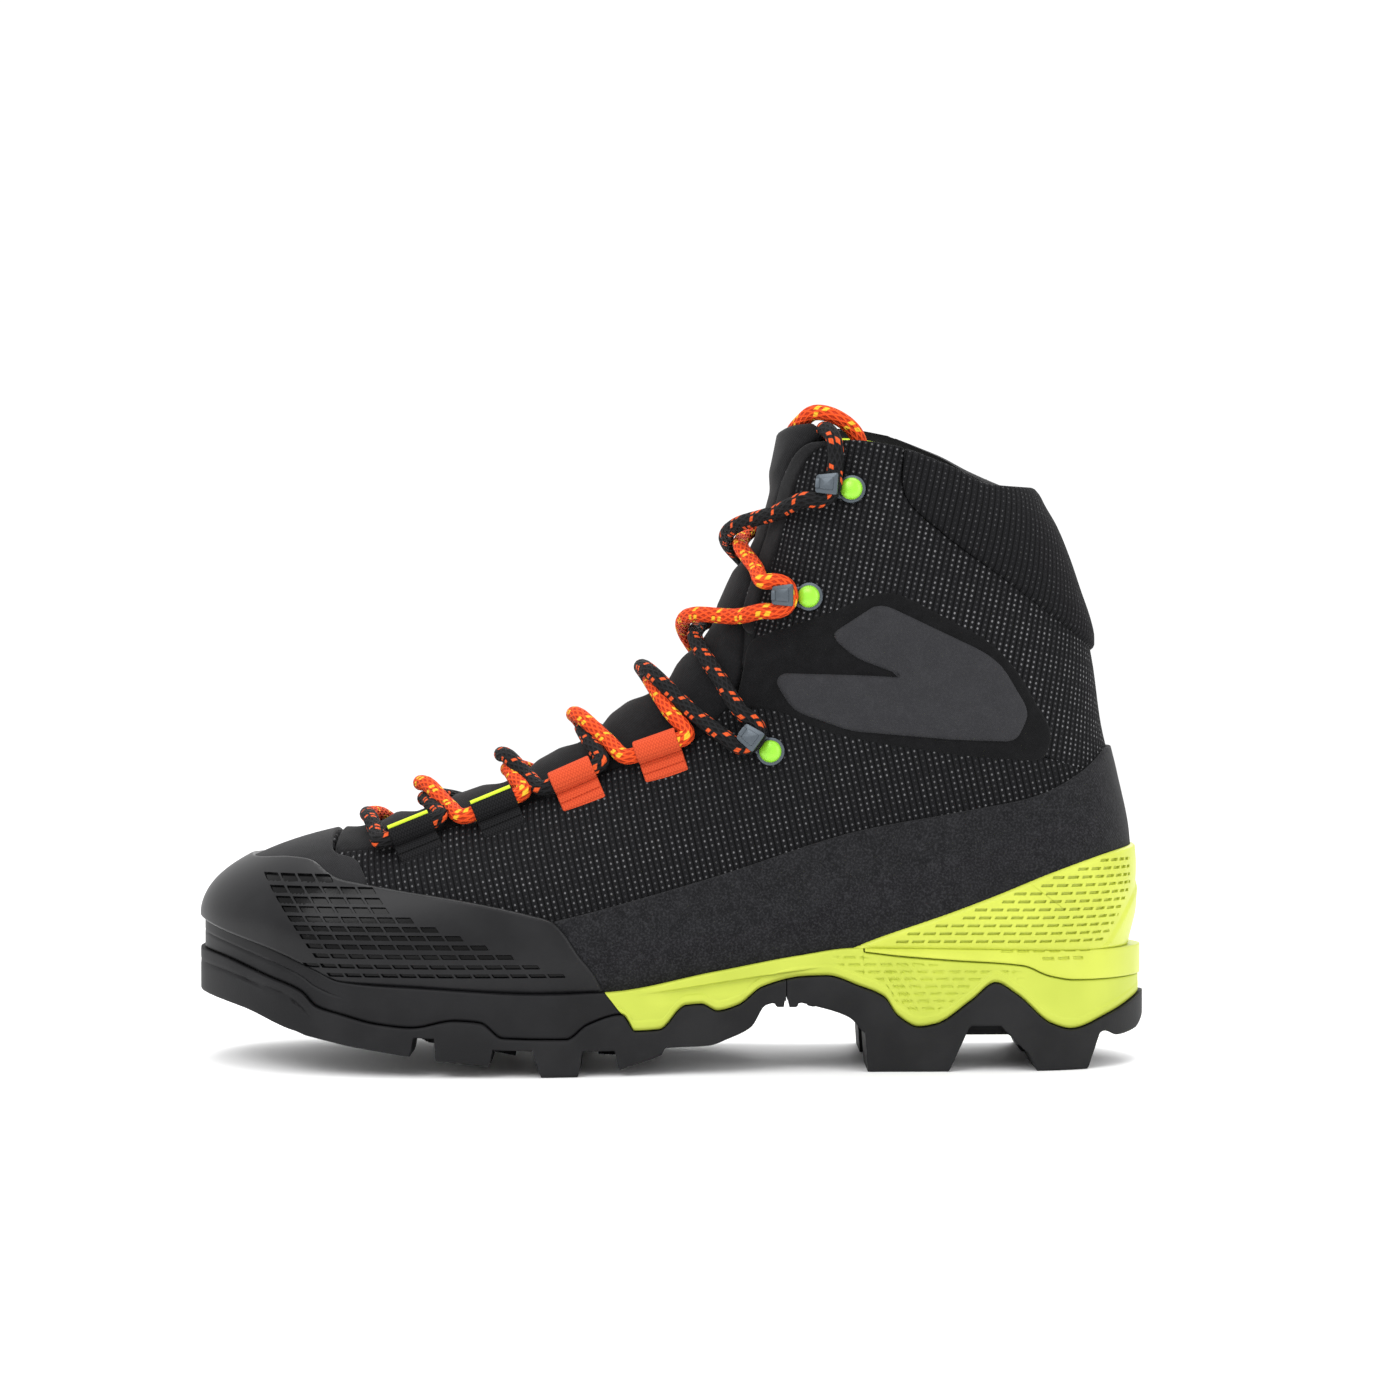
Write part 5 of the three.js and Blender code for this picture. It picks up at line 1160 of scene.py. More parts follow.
def strip_faces(count, m, wrap=True):
    """Triangles between successive rings or rows of m points."""
    i, j = np.meshgrid(np.arange(count - 1), np.arange(m if wrap else m - 1), indexing="ij")
    a, b = (i * m + j).ravel(), (i * m + (j + 1) % m).ravel()
    return np.vstack([np.c_[a, b, b + m], np.c_[a, b + m, a + m]])


def lid_faces(centre, base, m, flip):
    """Triangles from a centre point to the ring that starts at base."""
    k = np.arange(m)
    lid = np.c_[np.full(m, centre), base + k, base + (k + 1) % m]
    return lid[:, [0, 2, 1]] if flip else lid


def outward(points, tris):
    """The same triangles, turned over where they would face inwards."""
    a, b, c = (points[tris[:, k]] - points[0] for k in range(3))
    return tris if np.einsum("ij,ij->i", a, np.cross(b, c)).sum() > 0 else tris[:, ::-1]


def loft_rings(name, rings):
    """Joins rings of the same number of points into a closed skin."""
    rings = np.asarray(rings)
    n, m, _ = rings.shape
    points, tris = rings.reshape(-1, 3), strip_faces(n, m)
    for base in (0, (n - 1) * m):
        points = np.vstack([points, points[base:base + m].mean(0)])
        tris = np.vstack([tris, lid_faces(len(points) - 1, base, m, base == 0)])
    uv = np.c_[points[:, 0] + points[:, 1] * 0.3, points[:, 2]]
    return make_object(name, points, tris, uv, weld=0.003, sharp=34)


def sole_piece(name, x0, x1, edges, low_at, top_at, wall, lean=None, rows=16, step=0.9,
               marks=(), columns=40, ring=0.0):
    """A block of the sole, lofted from toe to heel. The wall function moves the side walls in."""
    rings = []
    up = np.sort(np.r_[np.linspace(0, 1, rows), 0.02, 0.98])
    for x in stations(max(x0, edges.x0 + 0.01), min(x1, edges.x1 - 0.01), step, marks):
        y0, y1 = (float(v) for v in edges.at(x))
        width = y1 - y0
        reach = min(ring, width * 0.46) if ring else 0
        if ring:
            share = reach / ring
            rim = np.array([0.0, 0.5, 1.2, 2.5, 4, 6, 8, ring * 0.5, ring * 0.65, ring * 0.8,
                            ring - 0.3, ring + 0.3]) * share
            rim = np.unique(rim)
            core = np.linspace(rim[-1], width - rim[-1], columns)[1:-1]
            across = np.r_[rim, core, width - rim[::-1]]
        else:
            across = np.linspace(0, width, columns)
        floor_y = y0 + across
        at_low = at_top = x
        if lean:
            at_low = x + float(lean(x, np.array([low_at(np.array([x]), 0, 0)[0]]))[0])
            at_top = x + float(lean(x, np.array([float(top_at(x))]))[0])
        floor_z = low_at(np.full(len(across), at_low), np.minimum(across, width - across), floor_y)
        top = float(top_at(at_top))
        left_z = floor_z[0] + (top - floor_z[0]) * up[::-1]
        right_z = floor_z[-1] + (top - floor_z[-1]) * up
        left_in = wall(x, left_z, floor_z[0], top, -1)
        right_in = wall(x, right_z, floor_z[-1], top, 1)
        room = width * 0.45
        points = [[x, y0 + min(d, room), z] for d, z in zip(left_in, left_z)]
        inset0, inset1 = min(left_in[-1], room), min(right_in[0], room)
        squeeze = (width - inset0 - inset1) / width
        points += [[x, y0 + inset0 + a * squeeze, z] for a, z in zip(across[1:-1], floor_z[1:-1])]
        points += [[x, y1 - min(d, room), z] for d, z in zip(right_in, right_z)]
        points += [[x, y1 - min(right_in[-1], room) - (width * 0.5) * k, top]
                   for k in (0.15, 0.5, 0.8)]
        points = np.array(points)
        if lean:
            points[:, 0] += lean(x, points[:, 2])
        rings.append(points)
    return loft_rings(name, rings)


def rounding(z, low, top, radius):
    """Inset of a wall whose lower and upper edges are rounded."""
    out = np.zeros(len(z))
    r = min(radius, max((top - low) * 0.45, 0.05))
    for d in (z - low, top - z):
        u = np.clip(1 - d / r, 0, 1)
        out += r * (1 - np.sqrt(np.maximum(1 - u * u, 0)))
    return out


def groove(z, level, half, depth):
    return depth * np.clip(1 - np.abs(z - level) / half, 0, 1) ** 0.6


toe_groove = curve_through([[-153, 31.5], [-145, 30.6], [-131, 27.4], [-118, 23.4], [-111, 18]])


def wall_outsole(x, z, low, top, side):
    inset = rounding(z, low, top, 0.7)
    if x < -110:
        inset = inset + groove(z, float(toe_groove(x)), 0.7, 0.9) * smooth(-110, -114, x)
    return inset


def floor_forefoot(x, inside, y):
    base = tread_front(x)
    z = base.copy()
    ring = inside < LUG_WIDTH + 0.1
    for lug in EDGE_LUGS:
        z = np.where(ring, np.minimum(z, lug_floor(lug, x)), z)
    rib = np.zeros(len(x))
    for tip, half, centre in CENTRE_LUGS:
        away = np.abs(y - centre)
        lead = x - tip - np.clip((away - 2.2) / (half - 2.2), 0, 1) * 7
        share = np.clip(np.minimum(lead, 9 - lead) / 0.5 + 0.5, 0, 1)
        share = np.minimum(share, np.clip(np.minimum(away - 2.2, half - away) / 0.6 + 0.5, 0, 1))
        rib = np.maximum(rib, share)
    deep = np.maximum(rocker(x) + 0.6, base - 6.5)
    return z + np.where(rib > 0, np.minimum(deep - z, 0) * rib, 0)


def floor_heel(x, inside, y):
    z = tread_heel(x).copy()
    ring = inside < HEEL_LUG_WIDTH + 0.1
    narrow = inside < LUG_WIDTH + 0.1
    for k, lug in enumerate(HEEL_LUGS):
        z = np.where(ring if k < 2 else narrow, np.minimum(z, lug_floor(lug, x)), z)
    roof = np.interp(x, *HEEL_CHANNEL.T, left=-9, right=-9)
    return np.where(inside < CHANNEL_DEPTH, np.maximum(z, roof), z)


wall_edges = Edges(0)
sole_a = sole_piece("outsole_forefoot_tread", -152.6, SOLE_SPLIT, wall_edges, floor_forefoot,
                    outsole_top, wall_outsole, rows=18, step=0.9, ring=LUG_WIDTH, columns=46,
                    marks=[-121, -79.5, -78.2, -71.8, -55, -53.8, -42.2, -39.3, -27.8, -26.4,
                           -17, -15.4, -0.6, 31.4])
dress(sole_a, sole_rubber, "foot", ["outsole_forefoot"])
sole_b = sole_piece("outsole_heel_tread", SOLE_SPLIT + GAP, 152.6, wall_edges, floor_heel,
                    outsole_top, wall_outsole, rows=18, step=0.9, ring=HEEL_LUG_WIDTH, columns=30,
                    marks=[61.2, 61.8, 87.3, 103.4, 114.8, 131.5, 135.8, 36.8, 41.4, 42.6, 47.4])
dress(sole_b, sole_rubber, "foot", ["outsole_heel"])

MIDSOLE_SPLIT = np.array([[-14.6, 0], [-14.6, 18.8], [-20, 25.6], [-20.6, 40]])


def split_x(z):
    return np.interp(z, MIDSOLE_SPLIT[:, 1], MIDSOLE_SPLIT[:, 0])


def wall_midsole_front(x, z, low, top, side):
    inset = rounding(z, low, top, 0.8)
    share = (z - low) / max(top - low, 1)
    return inset + groove(share, 0.52, 0.05, 0.5) * smooth(0.0, 1.0, (-96 - x) / 10)


SLOT_ROW, SLOT_PITCH = 2.3, 5.0


def midsole_slots(x, z, low, top):
    """Depth of the small slots in the rear midsole wall, 0 to 1."""
    row = (z - 20.6) / SLOT_ROW
    k = np.floor(row)
    inside = np.abs(row - k - 0.5) * SLOT_ROW
    lean = (z - 28) * 0.5
    u = (x - lean - k * SLOT_PITCH / 2) / SLOT_PITCH
    along = np.abs(u - np.floor(u) - 0.5) * SLOT_PITCH
    share = np.clip((0.48 - inside) / 0.25, 0, 1) * np.clip((1.9 - along) / 0.3, 0, 1)
    field = smooth(50, 54, x) * (1 - smooth(106, 112, x))
    clear = smooth(3.6, 4.4, z - low) * smooth(1.4, 2.0, top - z)
    return share * field * clear


def wall_midsole_rear(x, z, low, top, side):
    inset = rounding(z, low, top, 0.8)
    inset = inset + 0.5 * midsole_slots(x, z, low, top)
    band = 1 - smooth(2.7, 3.3, z - low)
    inset = inset - 0.35 * band * smooth(0.4, 1.2, z - low)
    # The sculpted crease above the arch.
    crease = 26.6 + (x - 6) * 0.14
    fade = smooth(-10, 4, x) * (1 - smooth(34, 50, x))
    return inset + fade * 1.3 * smooth(-4.5, 0, z - crease) * (1 - smooth(-0.2, 0.5, z - crease))


mid_edges = Edges(MIDSOLE_INSET)


def mid_low(x, inside, y):
    return outsole_top(x) + GAP


def lean_front(x, z):
    return (split_x(z) + 17.6) * smooth(-40, -17.9, x)


def lean_rear(x, z):
    return (split_x(z) + GAP + 17.3) * (1 - smooth(-17.0, 6, x))


front_mid = sole_piece("midsole_forefoot_wall", -151.2, -17.6, mid_edges, mid_low, feather,
                       wall_midsole_front, lean=lean_front, rows=20, step=1.0, columns=10)
dress(front_mid, mid_black, "foot", ["midsole_forefoot"])


def rear_top(x):
    return np.where(x < 60.7, feather(x), np.minimum(cradle_bottom(x) - GAP, feather(x)))


rear_mid = sole_piece("midsole_rear_wall", -17.3, 151.2, mid_edges, mid_low, rear_top,
                      wall_midsole_rear, lean=lean_rear, rows=46, step=0.5, columns=10,
                      marks=[60.7])
dress(rear_mid, mid_lime, "foot", ["midsole_rear"])

cup_edges = Edges(CRADLE_INSET)


def cradle_low(x, inside, y):
    return cradle_bottom(x)


def wall_cradle(x, z, low, top, side):
    inset = rounding(z, low, top, 0.7)
    # The wall leans in to meet the cup above it; at the back it stays out as a ledge.
    shell = abs(float(foot_centre(x)) + side * (float(half_width(x, top + 0.5)) + 2.9))
    room = max(0.0, abs(float(cup_edges.at(x)[0 if side < 0 else 1])) - shell)
    rise = (z - low) / max(top - low, 1)
    fade = 1 - float(smooth(129, 139, x))
    inset = inset + fade * room * smooth(0.1, 1.05, rise)
    # Two short rows of slots under the cup's own.
    for level, x0, x1 in ((37.4, 103, 134), (34.9, 116, 130)):
        if x0 < x < x1:
            lane = (x - x0 - (z - level) * 0.45) / SLOT_PITCH
            away = np.abs(lane - np.floor(lane) - 0.5) * SLOT_PITCH
            inset = inset + 0.7 * (np.clip((0.5 - np.abs(z - level)) / 0.2, 0, 1)
                                   * np.clip((1.9 - away) / 0.3, 0, 1))
    return inset


cradle = sole_piece("heel_cup_base", 61.0, 152, cup_edges, cradle_low, feather, wall_cradle,
                    rows=34, step=0.5, columns=10)
dress(cradle, cup_lime, "foot", ["heel_cup"])

cup_grid = last_grid(FINE_CELL, first=8.0, last=14.0)


CUP_HEIGHT, CUP_INNER = 3.0, 0.3
CUP_ROW, CUP_LANE = 2.5, 5.0  # spacing of the slots, upwards and along
CUP_HALF_ROW, CUP_HALF_LANE, CUP_RAMP = 0.47, 1.9, 0.16
CUP_LEAN, CUP_STAGGER, CUP_DEPTH = 0.45, 2.4, 0.9
CUP_FIRST_ROW, CUP_ROWS, CUP_FIRST_LANE = 40.4, 11, 52
# The slotted field ends at these lengths, at each height; the lip begins behind it.
CUP_FIELD_END = [[34, 129], [39.1, 136.2], [44.9, 139.8], [50.7, 143.4], [57.1, 146.5],
                 [65.8, 146]]
CUP_LIP = [[34, 131], [39.1, 138.2], [44.9, 141.8], [50.7, 145.4], [57.1, 150], [70, 150]]


def heel_cup():
    top_line = bend(HEEL_CUP_TOP)
    outline = ring_of(top_line, [[165, 30]], sole_edge(150, 54, -0.6))
    table, tris, depth = cut_skin(cup_grid, outline, CUP_HEIGHT, rings=(0.2, 0.8, 1.8))
    shown = table[:, :3] + table[:, 3:6] * CUP_HEIGHT
    girth = girth_at(np.minimum(shown[:, 0], 148), shown[:, 2])
    offset = float(girth_at(np.array([90.0]), np.array([55.0]))[0]) - 90.0
    work = np.c_[table, depth, girth - offset, shown[:, 2]]
    levels = CUP_FIRST_ROW + CUP_ROW * np.arange(CUP_ROWS)

    def edges(half):
        return (-half, -half + CUP_RAMP, half - CUP_RAMP, half)

    for zk in levels:
        for d in edges(CUP_HALF_ROW):
            work, tris, _ = split(work, tris, work[:, 10] - zk - d)
    # Slots stagger from row to row, so the cup is cut at the ends of both kinds of row.
    for phase in (0.0, CUP_STAGGER):
        for middle in np.arange(CUP_FIRST_LANE, 215, CUP_LANE) + phase:
            for d in edges(CUP_HALF_LANE):
                field = work[:, 9] - CUP_LEAN * (work[:, 10] - 50) - middle - d
                work, tris, _ = split(work, tris, field)
    table, depth, u, z = work[:, :8], work[:, 8], work[:, 9], work[:, 10]
    x = table[:, 0] + CUP_HEIGHT * table[:, 3]
    row = np.clip(np.round((z - levels[0]) / CUP_ROW), 0, len(levels) - 1).astype(int)
    zk = levels[row]
    first = CUP_FIRST_LANE + np.where(row % 2 == 0, 0.0, CUP_STAGGER)
    lane = (u - CUP_LEAN * (z - 50) - first) / CUP_LANE
    away = np.abs(lane - np.round(lane)) * CUP_LANE
    share = (np.clip((CUP_HALF_ROW - np.abs(z - zk)) / CUP_RAMP, 0, 1)
             * np.clip((CUP_HALF_LANE - away) / CUP_RAMP, 0, 1))
    centre_u = first + np.round(lane) * CUP_LANE + CUP_LEAN * (zk - 50)
    # Only below the cup's edge, behind its front tip and before its lip.
    edge_z = np.interp(centre_u, top_line[:, 0], top_line[:, 1], right=top_line[-1, 1])
    field_end = np.interp(zk, *np.transpose(CUP_FIELD_END))
    allowed = (zk < edge_z - 2.1) & (centre_u > 70) & (x < field_end)
    outer = (CUP_INNER + (CUP_HEIGHT - CUP_INNER) * rounded(depth, 1.8)
             - CUP_DEPTH * np.where(allowed, share, 0))
    # A smooth lip stands a little proud round the back of the slotted field.
    lip = np.interp(z, *np.transpose(CUP_LIP))
    outer = outer + 0.7 * smooth(-0.4, 1.0, x - lip) * smooth(0, 3, depth)
    points, faces, uv = close_skin(table, tris, outer, np.full(len(table), CUP_INNER))
    piece = make_object("heel_cup_shell", points, faces, uv, sharp=32)
    dress(piece, cup_lime, "foot", ["heel_cup"])


heel_cup()

# ------------------------------------------------------------------ lace hardware
LOOPS = [[-80.5, 71.6, 0.4], [-54.2, 79.6, 0.41], [-29.4, 89.2, 0.44], [-3, 99.2, 0.35]]
HOOKS = [[31.8, 99.6, 23.7, 105.4], [44, 148, 36.9, 148], [57.1, 181.4, 47.2, 181.9]]
LOOP_LACE = LOOP_SEAT + WEBBING + GAP + LACE_R
HOOK_LACE = HOOK_SEAT + HOOK_PLATE + GAP + LACE_R
LOOP_EXIT = 3  # how far the lace runs straight out of a loop
LOOP_WRAP = 318  # degrees of webbing round the lace
LIME_TURN = 32  # of the lime edge, in degrees from the top of the wrap
VISIBLE_TAIL = 9.5  # webbing seen below the lace before it is sewn in under the knit


class Fitting:
    """Axes of a fitting on the last: forward, normal outwards, and across."""

    def __init__(self, x, z, side, dx, dz):
        self.side = side
        self.origin = last_point(x, z, side)
        along_x = last_point(x + 0.5, z, side) - last_point(x - 0.5, z, side)
        along_z = last_point(x, z + 0.5, side) - last_point(x, z - 0.5, side)
        normal = unit(np.cross(along_x, along_z))
        self.normal = -normal if normal[1] * side < 0 else normal
        forward = along_x * dx + along_z * dz
        self.forward = unit(forward - self.normal * (forward @ self.normal))
        self.across = np.cross(self.forward, self.normal)

    def at(self, f, n, a):
        return self.origin + self.forward * f + self.normal * n + self.across * a

    def level(self, f, a):
        """Height of the last's surface above the fitting's plane at a place."""
        n = 0.0
        for _ in range(12):
            p = self.at(f, n, a)
            y = float(surface_y(p[0], p[2], self.side))
            n += (y - p[1]) * self.side * abs(self.normal[1]) * 0.9
        return n


def loop_fitting(loop, side):
    x, z, slope = loop
    return Fitting(x, z, side, 1, slope)


def hook_fitting(hook, side):
    x, z, front_x, front_z = hook
    return Fitting(x, z, side, front_x - x, front_z - z)


def sweep_band(name, path, normals, across, width, thickness):
    """A flat band with rounded edges along a path; across is the width's direction."""
    path, normals = np.asarray(path), np.asarray(normals)
    r = thickness / 2
    half = width / 2
    section = []
    for sign, turn in ((1, 0), (-1, math.pi)):
        for k in range(5):
            angle = turn + math.pi / 2 - math.pi * k / 4
            section.append((sign * (half - r) + r * math.cos(angle), r * math.sin(angle)))
        for t in (0.66, 0.33, 0.0, -0.33, -0.66):
            section.append((sign * half * t, -r * sign))
    section = np.array(section)
    rings = [p + across * section[:, :1] + n * section[:, 1:] for p, n in zip(path, normals)]
    # The ends of the band are rounded off by smaller rings.
    ends = []
    for ring, toward in ((rings[0], path[0] - path[1]), (rings[-1], path[-1] - path[-2])):
        centre = ring.mean(0)
        ends.append(centre + (ring - centre) * 0.97 + unit(toward) * r * 0.7)
    rings = [ends[0]] + rings + [ends[1]]
    n, m = len(rings), len(section)
    middles = [ring.mean(0) for ring in rings]
    run = np.r_[0, np.cumsum(np.linalg.norm(np.diff(middles, axis=0), axis=1))]
    points, tris = np.vstack(rings), strip_faces(n, m)
    uv = np.c_[np.tile(section[:, 0], n), np.repeat(run, m)]
    for base in (0, (n - 1) * m):
        points = np.vstack([points, points[base:base + m].mean(0)])
        uv = np.vstack([uv, uv[base:base + m].mean(0)])
        tris = np.vstack([tris, lid_faces(len(points) - 1, base, m, base == 0)])
    return make_object(name, points, outward(points, tris), uv, sharp=50)


def webbing_loop(number, loop, side_name, side, material):
    fitting = loop_fitting(loop, side)
    down = 1 if fitting.across[2] < 0 else -1
    drop = fitting.across * down
    r = LACE_R + GAP + WEBBING / 2
    flat = []
    for s in np.linspace(VISIBLE_TAIL, 1.0, 12):
        tuck = 2.2 * float(smooth(VISIBLE_TAIL - 2.2, VISIBLE_TAIL, s))
        flat.append((s, fitting.level(0, down * s) + LOOP_SEAT + WEBBING / 2 - tuck))
    for k in range(1, 25):
        angle = -math.pi / 2 - math.radians(LOOP_WRAP) * k / 24
        flat.append((r * math.cos(angle), LOOP_LACE + r * math.sin(angle)))
    for k, s in enumerate((4.4, 6.0)):
        flat.append((s, fitting.level(0, down * s) + LOOP_SEAT + WEBBING * (1.6 - 0.5 * k)))
    flat = bend(np.array(flat), 0.9)
    path = np.array([fitting.origin + drop * s + fitting.normal * n for s, n in flat])
    tangent = np.gradient(path, axis=0)
    tangent /= np.linalg.norm(tangent, axis=1)[:, None]
    normals = np.cross(tangent, fitting.forward)
    normals /= np.linalg.norm(normals, axis=1)[:, None]
    piece = sweep_band(f"lace_loop_{number}_{side_name}_webbing", path, normals, fitting.forward,
                       LOOP_WIDTH, WEBBING)
    dress(piece, material, "foot", [f"lace_loop_{number}_{side_name}"])
    if material is not black_web:
        return
    # Lime edge along the upper turn of the black loops.
    angle = math.atan2(fitting.normal[2], drop[2]) - math.radians(LIME_TURN)
    reach = r + WEBBING / 2 + 0.15
    line = [fitting.origin + fitting.forward * f + drop * reach * math.cos(angle)
            + fitting.normal * (LOOP_LACE + reach * math.sin(angle))
            for f in np.linspace(-LOOP_WIDTH / 2 + 0.3, LOOP_WIDTH / 2 - 0.3, 30)]
    edge = tube(f"loop_edge_{number}_{side_name}", line, 0.62, 10)
    dress(edge, lime_thread, "foot", [f"lace_loop_{number}_{side_name}"])


def tube(name, points, radius, sides, taper=None):
    """A round tube along points, with texture places round it and along it."""
    p = np.asarray(points, float)
    tangent = np.gradient(p, axis=0)
    tangent /= np.linalg.norm(tangent, axis=1)[:, None]
    helper = np.array([0, 0, 1.0]) if abs(tangent[0][2]) < 0.9 else np.array([1.0, 0, 0])
    n = unit(np.cross(tangent[0], helper))
    rings, run = [], np.r_[0, np.cumsum(np.linalg.norm(np.diff(p, axis=0), axis=1))]
    angles = 2 * np.pi * np.arange(sides + 1) / sides
    for k in range(len(p)):
        n = unit(n - tangent[k] * (n @ tangent[k]))
        b = np.cross(tangent[k], n)
        r = radius if taper is None else radius * taper(run[k], run[-1])
        rings.append(p[k] + r * (np.cos(angles)[:, None] * n + np.sin(angles)[:, None] * b))
    m = sides + 1
    count = len(p)
    tris = strip_faces(count, m, wrap=False)
    verts = np.vstack(rings)
    uv = np.c_[np.tile(angles * radius, count), np.repeat(run, m)]
    for base in (0, (count - 1) * m):
        k = count - 1 if base else 0
        verts = np.vstack([verts, p[k]])
        uv = np.vstack([uv, [[0, run[k]]]])
        s = np.arange(sides)
        lid = np.c_[np.full(sides, len(verts) - 1), base + s, base + s + 1]
        tris = np.vstack([tris, lid if base else lid[:, [0, 2, 1]]])
    return make_object(name, verts, tris, uv, sharp=60)


def prism(fitting, outline, n0, n1, edge):
    """A plate in a fitting's plane with rounded upper and lower edges: points and faces."""
    outline = np.asarray(outline, float)
    centre = outline.mean(0)
    rings = []
    for inset, n in ((edge, n0), (edge * 0.3, n0 + edge * 0.3), (0, n0 + edge), (0, n1 - edge),
                     (edge * 0.3, n1 - edge * 0.3), (edge, n1)):
        ring = grown(outline, -inset)
        rings.append(np.array([fitting.at(f, n, a) for f, a in ring]))
    m, count = len(outline), len(rings)
    points, tris = np.vstack(rings), strip_faces(count, m)
    for base, n in ((0, n0), ((count - 1) * m, n1)):
        points = np.vstack([points, fitting.at(centre[0], n, centre[1])])
        tris = np.vstack([tris, lid_faces(len(points) - 1, base, m, base == 0)])
    return points, outward(points, tris)


def together(parts):
    points, faces, base = [], [], 0
    for p, t in parts:
        points.append(p)
        faces.append(t + base)
        base += len(p)
    return np.vstack(points), np.vstack(faces)


def circle(radius, count=36):
    t = 2 * np.pi * np.arange(count) / count
    return np.c_[radius * np.cos(t), radius * np.sin(t)]


def plate_outline(x0, half0, x1, half1, radius):
    """A tapering plate with rounded corners, from one length and half width to another."""
    return rounded_corners([[x0, -half0], [x1, -half1], [x1, half1], [x0, half0]], radius)


def speed_hook(number, hook, side_name, side, body):
    fitting = hook_fitting(hook, side)
    top = HOOK_LACE + LACE_R + GAP
    seat0, seat1 = HOOK_SEAT, HOOK_SEAT + HOOK_PLATE
    front, back = HOOK_REACH + 0.1, HOOK_REACH - HOOK_FLAP
    plate = plate_outline(RING_R - 1.6, 3.2, HOOK_REACH, 2.1, 0.6)
    stem = plate_outline(HOOK_REACH - 1.3, STEM / 2, front, STEM / 2, 0.4)
    flap = plate_outline(back, HOOK_WIDTH / 2, front, HOOK_WIDTH * 0.39, 0.9)
    ridge_bar = plate_outline(back + 1.3, HOOK_WIDTH * 0.30, HOOK_REACH - 1.2,
                              HOOK_WIDTH * 0.24, 0.7)
    flap_points, flap_faces = prism(fitting, flap, top, top + HOOK_PLATE, 0.3)
    bar_points, bar_faces = prism(fitting, ridge_bar, top + 0.5, top + HOOK_PLATE + 0.35, 0.3)
    # The front part of the flap is bent down a little, in a second facet.
    fold, slope = HOOK_REACH - HOOK_FLAP * 0.42, 0.34
    for pts in (flap_points, bar_points):
        reach = (pts - fitting.origin) @ fitting.forward
        pts -= np.outer(np.clip(reach - fold, 0, None) * slope, fitting.normal)
    parts = [prism(fitting, circle(RING_R), seat0, seat1, 0.25),
             prism(fitting, plate, seat0, seat1, 0.22), prism(fitting, stem, seat0, top + 0.8, 0.2),
             (flap_points, flap_faces), (bar_points, bar_faces)]
    points, faces = together(parts)
    piece = make_object(f"hook_{number}_{side_name}_metal", points, faces,
                        points[:, [0, 2]], sharp=35)
    dress(piece, slate, body, [f"hook_{number}_{side_name}"])
    rivet(number, fitting, side_name, body)


def rivet(number, fitting, side_name, body):
    """A domed rivet through the hook's base ring."""
    seat = HOOK_SEAT + HOOK_PLATE + 0.15
    profile = [(0.0, seat - 0.4), (RIVET_R - 0.2, seat - 0.4), (RIVET_R, seat - 0.1),
               (RIVET_R, seat + 0.25)]
    for k in range(1, 8):
        angle = math.pi / 2 * k / 8
        profile.append((RIVET_R * math.cos(angle) ** 0.8,
                        seat + 0.25 + (RIVET_DOME - 0.25) * math.sin(angle)))
    profile.append((0.0, seat + RIVET_DOME))
    verts = np.array([fitting.at(a, n, b) for r, n in profile for a, b in circle(r, 40)])
    tris = outward(verts, strip_faces(len(profile), 40))
    dome = make_object(f"rivet_{number}_{side_name}_dome", verts, tris, verts[:, [0, 2]], sharp=50)
    dress(dome, rivet_green, body, [f"rivet_{number}_{side_name}"])


for side_name, side in SIDES.items():
    for k, loop in enumerate(LOOPS):
        finish, slot = (black_web, "webbing_black") if k < 2 else (orange_web, "webbing_orange")
        webbing_loop(k + 1, loop, side_name, side, finish)
    for k, hook in enumerate(HOOKS):
        speed_hook(k + 1, hook, side_name, side, "foot" if k == 0 else "cuff")

# ------------------------------------------------------------------ lace
bed_rows = np.arange(3.0, 17.9, 0.25)
BED_COLUMNS = 40
rows_of_points = np.array([both_sides(row_points(s, BED_COLUMNS)) for s in bed_rows])
down = rows_of_points[2:, 8:-8] - rows_of_points[:-2, 8:-8]
over = rows_of_points[1:-1, 9:-7] - rows_of_points[1:-1, 7:-9]
bed_normals = np.cross(down, over).reshape(-1, 3)
bed_normals /= np.linalg.norm(bed_normals, axis=1)[:, None]
bed_points = rows_of_points[1:-1, 8:-8].reshape(-1, 3)
if (bed_normals[:, 2] > 0).mean() < 0.5:
    bed_normals = -bed_normals
bed_tree = KDTree(len(bed_points))
for index, point in enumerate(bed_points):
    bed_tree.insert(point, index)
bed_tree.balance()


def drape(target, height):
    """The target's foot on the last, raised by a height."""
    foot, normal, total = np.zeros(3), np.zeros(3), 0.0
    for _, index, distance in bed_tree.find_n(Vector(target), 6):
        weight = 1 / (distance * distance + 4)
        n = bed_normals[index]
        foot += weight * (target - n * ((target - bed_points[index]) @ n))
        normal += weight * n
        total += weight
    return foot / total + unit(normal) * height


BED = LACE_R + GAP + 0.4  # from the last to the middle of a strand that lies on the tongue
OVER = LACE_D + 0.2  # and from there to the strand that crosses on top
TURN = STEM / 2 + GAP + LACE_R + 0.35  # radius of the lace's turn round a hook
TURN_CENTRE = HOOK_REACH - 0.6


def ridge_point(x):
    return last_point(x, ridge_height(x), 1)


def through_loop(loop, side):
    fitting = loop_fitting(loop, side)
    half = LOOP_WIDTH / 2
    return [fitting.at(f, LOOP_LACE, 0) for f in (-half - LOOP_EXIT, -half / 3, half / 3,
                                                  half + LOOP_EXIT)]


